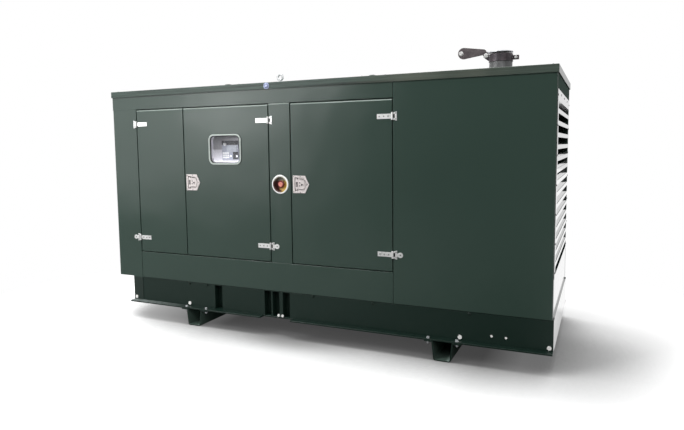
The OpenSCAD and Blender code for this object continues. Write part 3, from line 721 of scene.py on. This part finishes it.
def fold_sheets(paint, skid_paint, roof_paint, rubbed):
    """Rounds the folds that show: doors, posts, sill, panel, roof and skid."""
    front = on_plane(Y, FACE_Y)
    upright = all_of(front, along(UP))
    # The doors and the centre post get a painted highlight on their rounded tops.
    for door in DOORS:
        folded(door, upright, 2.2, door, paint, rubbed)
    folded("front_post_centre", upright, 2.2, "set", paint, rubbed)
    ledge = on_plane(Z, edges_of("front_post_centre")[0].z)
    folded("front_sill", all_of(front, ledge), 2.5, "set", paint)
    sides = [on_plane(X, corner.x) for corner in edges_of("front_panel")]
    folded("front_panel", all_of(front, any_of(*sides)), 3, "set", paint)
    corner = on_plane(X, edges_of("front_post_left")[0].x)
    folded("front_post_left", all_of(front, corner), 6, "set", post_coat())
    low, high = edges_of("roof")
    ends = [on_plane(X, low.x), on_plane(X, high.x)]
    lips = [on_plane(Y, low.y), on_plane(Y, high.y)]
    corners = [all_of(end, lip) for end in ends for lip in lips]
    rim = all_of(on_plane(Z, high.z), any_of(*ends, *lips))
    lid = folded("roof", any_of(rim, *corners), 4, "set", roof_paint)
    second_coat(lid, end_paint("roof_end_coat", 0.0, 0.75, 1.5), lambda normal: abs(normal.x) > 0.5)
    flanges = folded("skid_bottom_flanges", lambda edge: True, 2.5, "set", skid_paint)
    # The ledge's top faces take the painted highlight.
    second_coat(flanges, ledge_highlight("skid_worn_ledge"), lambda normal: normal.z > 0.5)
    faces = [on_plane(Y, corner.y) for corner in edges_of("skid_webs")]
    folded("skid_webs", all_of(along(UP), any_of(*faces)), 4, "set", skid_paint)


# --- Skid fixings

RAIL_BOLTS_X = (-1041, -862, 107, 588, 1277)
EARTH_STUDS_X, EARTH_STUDS_Z = (1425, 1517), 200
LASHING_BOLTS_X, LASHING_BOLTS_Z = (-190, -155), 157


def fix_skid(painted, zinc, white):
    """Bolts and studs in the rails, and the bolts that hold the feet, alike at front and rear."""
    low, high = edges_of("skid_webs")
    for make, sizes, name, places, z, slot, finish in (
            (hex_bolt, (OUT, 15, 11, 8), "rail_bolts", RAIL_BOLTS_X, high.z - 6, "skid_paint", painted),
            (screw, (OUT, 8, 3), "earth_studs", EARTH_STUDS_X, EARTH_STUDS_Z, "plug_plastic", white),
            (hex_bolt, (OUT, 17, 11.5, 8), "lashing_bolts", LASHING_BOLTS_X, LASHING_BOLTS_Z,
             "plug_plastic", white)):
        fit_at(make, sizes, name, [(x, low.y, z) for x in places], "set", finish, Y)
    flange_top, foot_top = edges_of("skid_bottom_flanges")[1].z, edges_of("foot_left")[1].z
    places = []
    for foot, from_left, from_right in (("foot_left", 41, 14), ("foot_right", 26, 28)):
        left, right = edges_of(foot)
        places += [left.x + from_left, right.x - from_right]
    over = [(x, low.y - 38, flange_top) for x in places]
    under = [(x, low.y - 38, foot_top - 8) for x in places]
    fit_at(hex_bolt, (UP, 19, 13, 11), "foot_bolts", over, "set", zinc, Y)
    fit_at(nut_and_thread, (DOWN, 19, 13, 12), "foot_nuts", under, "set", zinc, Y)


# --- Louvred ends and roof

JOINT_CAP_X, JOINT_CAP_PITCH = (-632, -592), 1204
ROOF_SCREWS_X, ROOF_SCREWS_Y = (-700, -524, 504, 680), (-610, -305, 0, 305, 610)
EYE_SEAT = (-524, 0)
FLASHING_SCREWS = 116


def fix_ends(dark, matt):
    """Screws round the louvre panels, and the plain strip over each."""
    low, high = edges_of("louvre_right")
    heights = [low.z + 34 + step * (high.z - low.z - 70) / 6 for step in range(7)]
    spots = [(high.x, side * (high.y - 30), z) for side in (-1, 1) for z in heights]
    spots += [(high.x, y, high.z - 22) for y in (-330, 0, 330)]
    fit_at(screw, (RIGHT, 6.5, 2.2), "louvre_screws", spots, "set", dark, X)
    wall = edges_of("end_wall_right")[1].x
    strip = plate("end_head_strip", (wall, low.y + 2, high.z + 3),
                  (wall + 1.5, high.y - 2, edges_of("roof")[0].z - 1), 0.4, 1, (8, -0.5), way=RIGHT)
    fit(mirrored(strip, X), "set", matt)


def dress_roof(paint, zinc):
    """Caps over the roof's two joints, its screws, and the flashing round the pipe."""
    low, high = edges_of("roof")
    top, pipe_x = high.z, PIPE_AT.x
    caps = plate("roof_joint_caps", (JOINT_CAP_X[0], low.y + 14, top),
                 (JOINT_CAP_X[1], high.y - 14, top + 5), 1.5, 2, (6, 2), way=UP)
    fit(repeat(caps, [(JOINT_CAP_PITCH, 0, 0)]), "set", paint)
    rows = (low.x + 40, *ROOF_SCREWS_X, high.x - 40)
    spots = [(x, y, top) for x in rows for y in ROOF_SCREWS_Y if (x, y) != EYE_SEAT]
    fit_at(hex_bolt, (UP, 12, 10, 7), "roof_screws", spots, "set", zinc)
    flashing = rod("pipe_flashing", (pipe_x, 0, top), UP, 132, 3, 56)
    inset_then_push(flashing, UP, 40, 20, (0.93, 0.93, 1))
    tunnel(flashing, UP, 2)
    round_edges(flashing, 1.2, 2, 40)
    fit(flashing, "set", zinc)
    turns = [math.radians(degrees) for degrees in range(22, 382, 45)]
    spots = [(pipe_x + FLASHING_SCREWS * math.cos(turn), FLASHING_SCREWS * math.sin(turn), top + 3)
             for turn in turns]
    fit_at(hex_bolt, (UP, 10, 8, 6), "flashing_screws", spots, "set", zinc)


# --- Hinges

PIN_INSET, STRAP_HALF, LEAF_PROUD = 7, 17, 3
STRAP_SCREWS = (30, 62, 94)


def fix_hinges(steel, dark, shadow):
    """Screws in the straps and the fixed leaves, pin heads, and the slots' dark plates of painted shadow.
    """
    leaf_spots, rear_spots, pin_tops, slots = [], [], [], []
    for door, hand in zip(DOORS, (1, -1, -1)):
        low, high = edges_of(door + "_straps")
        pin_x = (low.x if hand > 0 else high.x) + PIN_INSET * hand
        levels = (low.z + STRAP_HALF, high.z - STRAP_HALF)
        face = FACE_Y - LEAF_PROUD
        spots = [(pin_x + hand * step, face, z) for z in levels for step in STRAP_SCREWS]
        fit_at(screw, (OUT, 5.5, 1.8), door + "_strap_screws", spots, door, dark)
        rear_spots += [(x, -y, z) for x, y, z in spots]
        leaf_spots += [(pin_x - hand * 25, face, z + rise) for z in levels for rise in (-20, 20)]
        pin_tops += [(pin_x, FACE_Y - 8, z + 25) for z in levels]
        slots += [(pin_x - hand * 13.2, FACE_Y, z) for z in levels]
    fit_at(screw, (OUT, 5, 1.6), "leaf_screws", leaf_spots, "set", dark, Y)
    fit_at(screw, (IN, 5.5, 1.8), "rear_strap_screws", rear_spots, "set", dark)
    fit_at(rod, (UP, 6, 3, 24, 4), "hinge_pin_heads", pin_tops, "set", steel, Y)
    # Dark plates in the slots beside the pins: painted shadow.
    fit_at(slot_shadow_plate, (), "leaf_slot_plates", slots, "set", shadow, Y)


# --- Latches

def dress_latch(door, steel, dark, shadow):
    """The bezel in the pan, and the paddle's raised field, finger slot and lock."""
    low, high = edges_of(door + "_latch")
    x, z, face = low.x, (low.z + high.z) / 2, low.y
    bezel = plate(door + "_latch_bezel", (x + 40, face + 5, z - 51), (x + 99, face + 8, z + 51), 0.8, 2,
                  hole=9)
    nose = block(door + "_latch_nose", (x + 92, face + 4.5, z - 33), (x + 111, face + 8, z + 33))
    choose(nose, facing(RIGHT))
    bpy.ops.transform.resize(value=(1, 1, 0.55))
    close_edit()
    round_edges(nose, 0.8, 2)
    fit(join(bezel, nose), door, steel)
    spots = [(x + across, face, z + rise)
             for across, rise in ((7, -56), (7, 56), (119, 0), (62, 59), (62, -59))]
    fit_at(screw, (OUT, 3.6, 1.0), door + "_latch_screws", spots, door, dark)
    paddle = door + "_paddle"
    face_of_paddle = edges_of(paddle)[0].y

    def low_plate(name, left, right, half, out, back, *shape, **more):
        """A plate on the paddle's face, as high above its middle as below."""
        return plate(paddle + name, (x + left, face_of_paddle - out, z - half),
                     (x + right, face_of_paddle + back, z + half), *shape, **more)
    field = low_plate("_field", 42, 92, 34, 0.9, 0.4, 0.5, 2, (3, -0.7))
    grip_edge = low_plate("_grip_edge", 27, 41, 21, 0.8, 0.4, 0.4, 1, hole=1.6)
    lock = rod(paddle + "_lock", (x + 76, face_of_paddle, z - 2), OUT, 9.5, 1.5, 32, 8.5)
    inset_then_push(lock, OUT, 2, -0.7)
    round_edges(lock, 0.3, 2, 50)
    fit(join(field, grip_edge, lock), paddle, steel)
    # The finger slot, keyhole and keyway are thin dark plates: painted shadow.
    slot = low_plate("_grip_slot", 28, 40, 19, 1.0, 0.3, 0.3, 1)
    key = rod(paddle + "_keyhole", (x + 76, face_of_paddle, z - 2), OUT, 7.4, 1.7, 24, 6.8)
    keyway = plate(paddle + "_keyway", (x + 73.6, face_of_paddle - 1.7, z - 14),
                   (x + 78.4, face_of_paddle + 0.2, z - 2), 0.3, 1)
    rivets = [screw(paddle + "_rivet", (x + 58, face_of_paddle - 0.2, z + rise), OUT, 4.6, 1.0)
              for rise in (-11, 11)]
    fit(join(slot, key, keyway), paddle, shadow)
    fit(join(*rivets), paddle, dark)
    # A thin dark ring round the bezel: a painted shadow line.
    line = plate(door + "_latch_shadow_line", (x + 37, face + 7.2, z - 54), (x + 102, face + 8, z + 54),
                 0.3, 1, hole=3)
    fit(line, door, shadow)


# --- Window and what it shows

def dress_window(seal, reveal):
    """Seals inside and outside the window's rim, and the grey lining of its opening, whose pale grey is a
    painted reflection.
    """
    low, high = edges_of("window_glass")
    x, z = (low.x + high.x) / 2, (low.z + high.z) / 2
    pane = (high.x - low.x - 0.6, high.z - low.z - 0.6)
    low, high = edges_of("window_rim")
    rim = (high.x - low.x + 7, high.z - low.z + 7)
    for name, (width, height), corner, margin, front, back, soft, steps, finish in (
            ("window_inner_seal", pane, 36.5, 6, -3, 7.5, 1.4, 2, seal),
            # The lining's pale grey: a painted reflection in the opening.
            ("window_reveal", pane, 36.5, 2, 8, 39.5, 0.6, 1, reveal),
            ("window_outer_seal", rim, 51, 4.5, -2.5, 0, 0.8, 2, seal)):
        piece = block(name, (x - width / 2, FACE_Y + front, z - height / 2),
                      (x + width / 2, FACE_Y + back, z + height / 2))
        bevel_edges(piece, along(IN), corner, 8)
        tunnel(piece, OUT, margin)
        round_edges(piece, soft, steps)
        fit(piece, "window_door", finish)


def dress_cabinet(shell, door_finish, steel):
    """The cabinet's doors, lock and panels round the controller. The panel above the doors is darker grey
    than the pale doors as painted shade.
    """
    low, high = edges_of("control_cabinet")
    unit_low, unit_high = edges_of("controller")
    left, right, front = low.x + 14, high.x - 14, low.y
    split, foot = unit_low.x - 4, low.z + 25
    doors = [plate(name, (start, front - 5, foot), (end, front, top), 1.6, 2, (16, -1.2))
             for name, start, end, top in (("cabinet_main_door", left, split, unit_low.z + 82),
                                           ("cabinet_side_door", split + 4, right, unit_low.z - 8))]
    fit(join(*doors), "set", door_finish)
    fascia = plate("controller_fascia", (split + 4, front - 3, unit_low.z - 6),
                   (right, front, unit_high.z + 22), 1.2, 2)
    fit(fascia, "set", shell)
    # Painted shade: the panel above the main door takes the darker grey.
    shaded_upper = plate("cabinet_upper_panel", (left, front - 4, unit_low.z + 86), (split, front, high.z - 30),
                  1.2, 2, (10, -1))
    fit(shaded_upper, "set", shell)
    lock = rod("cabinet_lock", (split - 40, front - 5, unit_low.z - 120), OUT, 14, 6, 32, 12)
    inset_then_push(lock, OUT, 4, 3)
    round_edges(lock, 0.8, 2, 50)
    wing = plate("cabinet_lock_wing", (split - 44, front - 22, unit_low.z - 138),
                 (split - 36, front - 10, unit_low.z - 102), 2, 3)
    fit(join(lock, wing), "set", steel)


def dress_controller(black, screen, key, lamp):
    """The controller's head and foot, screen, nine keys, switch and two lamps."""
    x, face, z = edges_of("controller")[0]
    head = plate("controller_head", (x, face - 4, z + 118), (x + 154, face, z + 152), 1, 2, (3, -1))
    foot = plate("controller_foot", (x + 104, face - 3, z + 4), (x + 152, face, z + 62), 1.5, 2)
    fit(join(head, foot), "set", black)
    glass = plate("controller_screen", (x + 44, face - 2.5, z + 58), (x + 140, face, z + 112), 0.6, 2,
                  (4, -0.8))
    fit(glass, "set", screen)
    keys = plate("controller_keys", (x + 8, face - 2, z + 12), (x + 24, face, z + 24), 0.5, 2, (2, 0.8))
    moves = [(across, 0, rise) for across in (0, 21, 42) for rise in (0, 17, 34) if across or rise]
    fit(repeat(keys, moves), "set", key)
    knob = rod("controller_switch", (x + 32, face - 4, z + 122), OUT, 13, 5, 32, 11)
    lever = block("controller_switch_lever", (x + 20, face - 17, z + 116), (x + 44, face - 8, z + 128))
    choose(lever, lambda face: True)
    bpy.ops.transform.rotate(value=math.radians(-55), orient_axis="Y",
                             center_override=(Vector((x + 32, face - 12, z + 122)) * MM))
    close_edit()
    round_edges(lever, 2.5, 3)
    fit(join(knob, lever), "set", key)
    spots = [(x + 84, face - 3, z + 29), (x + 142, face - 3.2, z + 29)]
    fit_at(rod, (OUT, 8, 5, 24, 6), "controller_lamps", spots, "set", lamp)


# --- Exhaust

def dress_exhaust(bright, dark):
    """Bolts with their nuts through the cap's arm, the cap's pivot and the clamp, and the weld."""
    cap_low, cap_high = edges_of("rain_cap")
    low, high = edges_of("exhaust_collar")
    for name, body, x, z, half, *sizes in (
            ("cap_weight", "rain_cap", cap_low.x + 24, cap_high.z - 42, 5, 21, 17, 8),
            ("cap_pivot", "set", low.x + 20, high.z - 20, 13, 26, 18, 9),
            ("clamp", "set", high.x - 20, low.z + 27.5, 11, 17, 11, 9)):
        bolt = hex_bolt(name + "_bolt", (x, -half, z), OUT, *sizes)
        nut = hex_bolt(name + "_nut", (x, half, z), IN, *sizes)
        fit(join(bolt, nut), body, bright)
    weld = hoop("pipe_weld_bead", (PIPE_AT.x, 0, low.z - 1), UP, 83.2, 1.4, 64)
    fit(weld, "set", dark)


# --- Linings and seals

DOOR_MARGIN, WINDOW_MARGIN, PAD_GAP, PAD_DEPTH, LOW_PAD = 34, 30, 4, 7, 320
SLAB_DEPTH, SLAB_HEIGHT, SLAB_ROWS = 24, 738, 756


def door_pads(door):
    """The outlines of a door's foam pads: left, right, foot and top of each."""
    low, high = edges_of(door)
    left, right, foot, top = (low.x + DOOR_MARGIN, high.x - DOOR_MARGIN, low.z + DOOR_MARGIN,
                              high.z - DOOR_MARGIN)
    if door != "window_door":
        third = (top - foot) / 3
        return [(left, right, foot + row * third, foot + (row + 1) * third - PAD_GAP) for row in range(3)]
    low, high = edges_of("window_glass")
    under, over = low.z - WINDOW_MARGIN, high.z + WINDOW_MARGIN
    return [(left, right, foot, foot + LOW_PAD), (left, right, foot + LOW_PAD + PAD_GAP, under),
            (left, low.x - WINDOW_MARGIN, under + PAD_GAP, over - PAD_GAP),
            (high.x + WINDOW_MARGIN, right, under + PAD_GAP, over - PAD_GAP), (left, right, over, top)]


def line_doors(foam, stud):
    """Foam pads and their retaining caps on the inside of each door."""
    inner = edges_of("narrow_door")[1].y
    for door in DOORS:
        pads, caps = [], []
        for left, right, foot, top in door_pads(door):
            pads.append(plate(door + "_foam", (left, inner, foot), (right, inner + PAD_DEPTH, top), 3, 3))
            caps += [(x, inner + PAD_DEPTH - 0.5, z)
                     for x in (left + 24, right - 24) for z in (foot + 22, top - 22)]
        fit(join(*pads), door, foam)
        fit_at(screw, (IN, 9, 1.6), door + "_foam_caps", caps, door, stud)


def line_canopy(foam, stud):
    """Foam slabs on the rear wall and under the roof."""
    ceiling, rear = edges_of("end_wall_right")[1].z, edges_of("rear_wall")[0].y
    deck_top = edges_of("deck")[1].z
    left, right = edges_of("end_wall_left")[1].x, edges_of("end_wall_right")[0].x
    run = (right - left - 20) / 6
    slab = plate("rear_foam_slabs", (left + 10, rear - SLAB_DEPTH, deck_top + 12),
                 (left + 6 + run, rear, deck_top + 12 + SLAB_HEIGHT), 6, 3)
    moves = [(column * run, 0, row * SLAB_ROWS) for column in range(6) for row in range(2) if column or row]
    fit(repeat(slab, moves), "set", foam)
    caps = [(left + 10 + run * (column + share), rear - SLAB_DEPTH, deck_top + level)
            for column in range(6) for share in (0.12, 0.86) for level in (90, 660, 850, 1420)]
    fit_at(screw, (OUT, 11, 2), "rear_foam_caps", caps, "set", stud)
    slab = plate("roof_foam_slabs", (left + 10, -585, ceiling - 26), (left + 6 + run, 565, ceiling), 6, 3)
    fit(repeat(slab, [(column * run, 0, 0) for column in range(1, 5)]), "set", foam)


def seal_openings(seal):
    """Bulb seals on the stop lips behind the doors' edges."""
    back = edges_of("narrow_door")[1].y
    for name, first, last in (("door_pair_seal", "narrow_door", "window_door"),
                              ("plain_door_seal", "plain_door", "plain_door")):
        low, high = edges_of(first)[0], edges_of(last)[1]
        ring = plate(name, (low.x - 3, back + 1.6, low.z - 3), (high.x + 3, back + 7.4, high.z + 3),
                     2.4, 3, hole=13)
        fit(ring, "set", seal)


# --- All the solids

def dress_cad():
    """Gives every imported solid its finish: its slot's, or one of its own."""
    finishes = {
        "canopy_paint": powder_coat("canopy_powder_coat", GREEN, GREEN_GLOSS, SHEET_WAVES),
        "skid_paint": powder_coat("skid_enamel", SKID_GREEN, **ENAMEL),
        "stainless": bare_metal("drawn_stainless", (0.90, 0.90, 0.89), 0.34, 0.7),
        "zinc": bare_metal("zinc_plate", (0.62, 0.64, 0.66), 0.42, 0.8),
        "pipe_steel": scaled_steel("pipe_grey_steel", (0.160, 0.160, 0.163), (0.12, 0.12, 0.123), 0.42,
                                   0.3),
        "exhaust_steel": scaled_steel("heated_steel", (0.055, 0.048, 0.056), (0.105, 0.085, 0.095), 0.4),
        "plug_plastic": moulded("plug_polythene", (0.88, 0.88, 0.86), 0.4),
        "stop_white": stop_white("stop_ring_white"),
        "stop_yellow": stop_gold("stop_plate_gold"),
        "stop_red": stop_red("stop_button_red"),
        "window_frame": bare_metal("window_frame_metal", (0.40, 0.45, 0.42), 0.40, 0.4),
        "window_pane": clear_pane("window_pane_clear"),
        "cabinet_grey": moulded("cabinet_lilac_grey", (0.46, 0.45, 0.49), 0.4),
        "controller_grey": moulded("controller_case", (0.33, 0.35, 0.43)),
    }
    slots = {part["node"]: part["material_slot"] for part in frame["record"]["subparts"]}
    latches = [door + part for door in DOORS[1:] for part in ("_latch", "_paddle")]
    own = {
        "lip_bolt": bare_metal("lip_bolt_blue_zinc", (0.30, 0.34, 0.50), 0.32, 0.4),
        "roof_eye": bare_metal("eye_galvanised", (0.74, 0.75, 0.76), 0.5, 0.15),
        "rain_cap": cap_steel("rain_cap_steel"),
        "foot_left": foot_coat("foot_left"),
        "foot_right": foot_coat("foot_right"),
        **dict.fromkeys(latches, bare_metal("latch_pressed_steel", (0.68, 0.63, 0.62), 0.45, 0.5)),
        **dict.fromkeys(("end_wall_left", "end_wall_right", "louvre_left", "louvre_right", "skid_ends"),
                        end_paint("end_gloss_coat", 0.85, 1.0, 1.9)),
    }
    for name, piece in nodes.items():
        piece.data.materials.clear()
        piece.data.materials.append(own.get(name, finishes[slots[name]]))
    return finishes


# --- Stage

# Lamps: place, aim, size in metres and power.
LAMPS = {
    "softbox": ((-3.6, -4.1, 2.0), (-0.6, -0.65, 1.15), (3.6, 2.8), 62),
    "glint": ((-3.3, -4.5, 2.15), (-0.6, -0.65, 1.7), (0.8, 0.5), 14),
    "glint_right": ((-1.75, -4.3, 2.58), (0.2, -0.65, 1.85), (1.0, 0.45), 11),
    "key": ((-3.2, -4.2, 5.6), (-0.4, -0.6, 1.0), (3.0, 2.0), 240),
    "fill": ((3.5, -5.5, 5.2), (0.6, -0.6, 0.9), (4.0, 2.5), 150),
    "overhead": ((-0.8, 0.3, 6.0), (-0.8, 0.3, 0.0), (7.5, 5.0), 250),
    "rear_fill": ((-1.0, 6.0, 4.2), (0.0, 0.6, 0.9), (4.0, 2.5), 140),
}
AMBIENT = 0.30

# The floor: its tone in the paint's mirror, and the oval, in metres, that takes the shadow.
FLOOR_TONE = 0.30
FLOOR_MIDDLE = (0.39, -0.29)
FLOOR_SIZE = (3.9, 2.9)
FLOOR_SHOWN = 1.40
FLOOR_GLOW, LEFT_GLOW, RIGHT_GLOW = 0.055, 0.36, 0.09
SHADE_UNDER = 0.12

# Soft painted patches on the floor, of shade and of light: middle, half length and half width, and depth.
FLOOR_SHADES = [((1.95, -0.62), (1.1, 1.0), 0.36), ((-0.08, -0.72), (0.75, 0.28), 0.45)]
FLOOR_GLEAM = ((2.05, 0.38), (0.45, 0.5), 0.12)


def mix_shaders(amount, first, second):
    return add(amount, "ShaderNodeMixShader", {0: amount, 1: first.outputs[0], 2: second.outputs[0]})


def add_world():
    """White straight ahead and behind the set, and a dim room where paint would mirror it."""
    world = bpy.data.worlds.new("studio")
    bpy.context.scene.world = world
    tree = clean_tree(world)
    ray = add(tree, "ShaderNodeLightPath").outputs
    direction = axes(add(tree, "ShaderNodeTexCoord").outputs["Generated"])
    behind = spread(direction["Y"], 0.10, 1.0, -0.5, 0.25)
    glossy = add(tree, "ShaderNodeBackground", {"Strength": behind})
    plain, white = [add(tree, "ShaderNodeBackground", {"Color": (1, 1, 1, 1), "Strength": strength})
                    for strength in (AMBIENT, 1.0)]
    inner = mix_shaders(ray["Is Glossy Ray"], plain, glossy)
    direct = calc("MAXIMUM", ray["Is Camera Ray"], ray["Is Transmission Ray"])
    outer = mix_shaders(direct, inner, white)
    add(tree, "ShaderNodeOutputWorld", {"Surface": outer.outputs[0]})


def add_lamp(name, at, aim, size, power):
    lamp = bpy.data.lights.new(name, "AREA")
    lamp.shape = "RECTANGLE"
    lamp.size, lamp.size_y = size
    lamp.energy = power
    holder = bpy.data.objects.new(name, lamp)
    turn = (Vector(aim) - Vector(at)).to_track_quat("-Z", "Y").to_matrix().to_4x4()
    holder.matrix_world = Matrix.Translation(at) @ turn
    bpy.context.scene.collection.objects.link(holder)


def from_middle(coords, middle, size):
    """How far out a point of the floor is in an oval: 0 in its middle, 1 at its edge."""
    return distance(coords, (*middle, 0.0), (1 / size[0], 1 / size[1], 1.0))


def patch_at(coords, middle, size, depth):
    return spread(from_middle(coords, middle, size), depth, 0.0, 0.0, 1.0, "SMOOTHSTEP")


def floor_shade(coords):
    """The floor's tone near the set: painted shade from occlusion under it, and painted patches of shade
    beside it.
    """
    close, wide = [add(coords, "ShaderNodeAmbientOcclusion", {"Distance": reach}, samples=16).outputs["AO"]
                   for reach in (1.0, 2.4)]
    near = spread(close, SHADE_UNDER, FLOOR_SHOWN, 0.45, 0.97)
    soft = spread(wide, 0.5, 1.0, 0.5, 0.97)
    right = spread(axes(coords)["X"], 0.0, 1.0, 1.2, 2.2)
    soft = calc("MULTIPLY_ADD", right, calc("SUBTRACT", soft, 1.0), 1.0)
    for shade in FLOOR_SHADES:
        near = calc("MULTIPLY", near, calc("SUBTRACT", 1.0, patch_at(coords, *shade)))
    return calc("MULTIPLY", near, soft)


def add_floor():
    """A pale floor: it takes the shadow near the set, partly painted, with a painted glow near the set's
    ends, and is plain white further out.
    """
    only()
    bpy.ops.mesh.primitive_plane_add(size=60)
    floor = bpy.context.object
    floor.name = "floor"
    material = bpy.data.materials.new("pale_floor")
    tree = clean_tree(material)
    ray = add(tree, "ShaderNodeLightPath").outputs
    coords = place(tree)
    spot = axes(coords)
    white = add(tree, "ShaderNodeEmission", {"Strength": 1.0})

    lit = add(tree, "ShaderNodeBsdfDiffuse", {"Color": floor_shade(coords)})
    # Painted glow on the floor near the set's ends, and a painted gleam beside it.
    left_end = spread(spot["X"], LEFT_GLOW, 0.0, -1.75, -0.75)
    right_end = spread(spot["X"], 0.0, RIGHT_GLOW, 1.35, 1.60)
    ends = calc("ADD", calc("MAXIMUM", left_end, right_end), FLOOR_GLOW)
    ends = calc("ADD", ends, patch_at(coords, *FLOOR_GLEAM))
    glow = add(tree, "ShaderNodeEmission", {"Strength": ends})
    bright = add(tree, "ShaderNodeAddShader", {0: lit.outputs[0], 1: glow.outputs[0]})
    far = spread(from_middle(coords, FLOOR_MIDDLE, FLOOR_SIZE), 0.0, 1.0, 0.55, 1.0, "SMOOTHSTEP")
    shown = mix_shaders(far, bright, white)

    tone = spread(spot["X"], FLOOR_TONE, 0.05, -0.2, 1.5)
    plain = add(tree, "ShaderNodeBsdfDiffuse", {"Color": tone})
    beyond = calc("MAXIMUM", spread(spot["X"], 0.0, 1.0, 1.6, 2.0),
                  spread(spot["Y"], 0.0, 1.0, 0.4, 1.0))
    mirror = calc("MULTIPLY", beyond, ray["Is Glossy Ray"])
    seen = mix_shaders(mirror, plain, white)
    whole = mix_shaders(ray["Is Camera Ray"], seen, shown)
    add(tree, "ShaderNodeOutputMaterial", {"Surface": whole.outputs[0]})
    floor.data.materials.append(material)


def light_studio():
    add_world()
    for name, lamp in LAMPS.items():
        add_lamp(name, *lamp)
    low, high = edges_of("window_glass")
    window = (low + high) / 2 * MM
    add_lamp("cabinet_glow", (window.x - 0.06, -0.582, window.z - 0.165),
             (window.x - 0.06, -0.550, window.z + 0.02), (0.5, 0.03), 0.8)
    bpy.context.scene.view_settings.view_transform = "Standard"


# --- Everything together

add_camera()
finishes = dress_cad()
paint, skid_paint = finishes["canopy_paint"], finishes["skid_paint"]
steel, zinc = finishes["stainless"], finishes["zinc"]
seal = rubber("black_rubber", (0.020, 0.022, 0.021))
foam = sound_foam("acoustic_foam")
dark_steel = bare_metal("screw_steel", (0.42, 0.42, 0.42), 0.4)
recess_steel = bare_metal("recess_steel", (0.10, 0.10, 0.10), 0.5)
latch_steel = bare_metal("latch_satin_steel", (0.66, 0.61, 0.60), 0.45, 0.5)
shadow = moulded("recess_shadow", (0.020, 0.016, 0.018), 0.6)
# A paler green for the rounded tops of the doors and the centre post: a painted highlight.
rubbed = powder_coat("rubbed_edge_coat", (0.25, 0.31, 0.28), 0.34, 0.0, 0.0)
fold_sheets(paint, skid_paint, roof_coat(), rubbed)
fix_skid(skid_paint, zinc, finishes["plug_plastic"])
fix_ends(dark_steel, matt_coat("matt_coat"))
dress_roof(paint, zinc)
fix_hinges(steel, dark_steel, shadow)
for door in DOORS[1:]:
    dress_latch(door, latch_steel, recess_steel, shadow)
# The window's lining in pale grey: a painted reflection.
dress_window(seal, moulded("window_reveal_grey", (0.52, 0.51, 0.56), 0.4))
dress_cabinet(finishes["cabinet_grey"], moulded("cabinet_door_lilac", (0.80, 0.78, 0.86)), steel)
dress_controller(rubber("controller_black", (0.010, 0.010, 0.014)),
                 moulded("controller_screen_blue", (0.42, 0.45, 0.52), 0.12),
                 moulded("controller_keys_white", (0.86, 0.86, 0.88)),
                 lit_lamp("controller_lamp_white", (0.95, 0.95, 1.0), 0.6))
dress_exhaust(steel, finishes["pipe_steel"])
line_doors(foam, dark_steel)
line_canopy(foam, dark_steel)
seal_openings(seal)
add_floor()
light_studio()
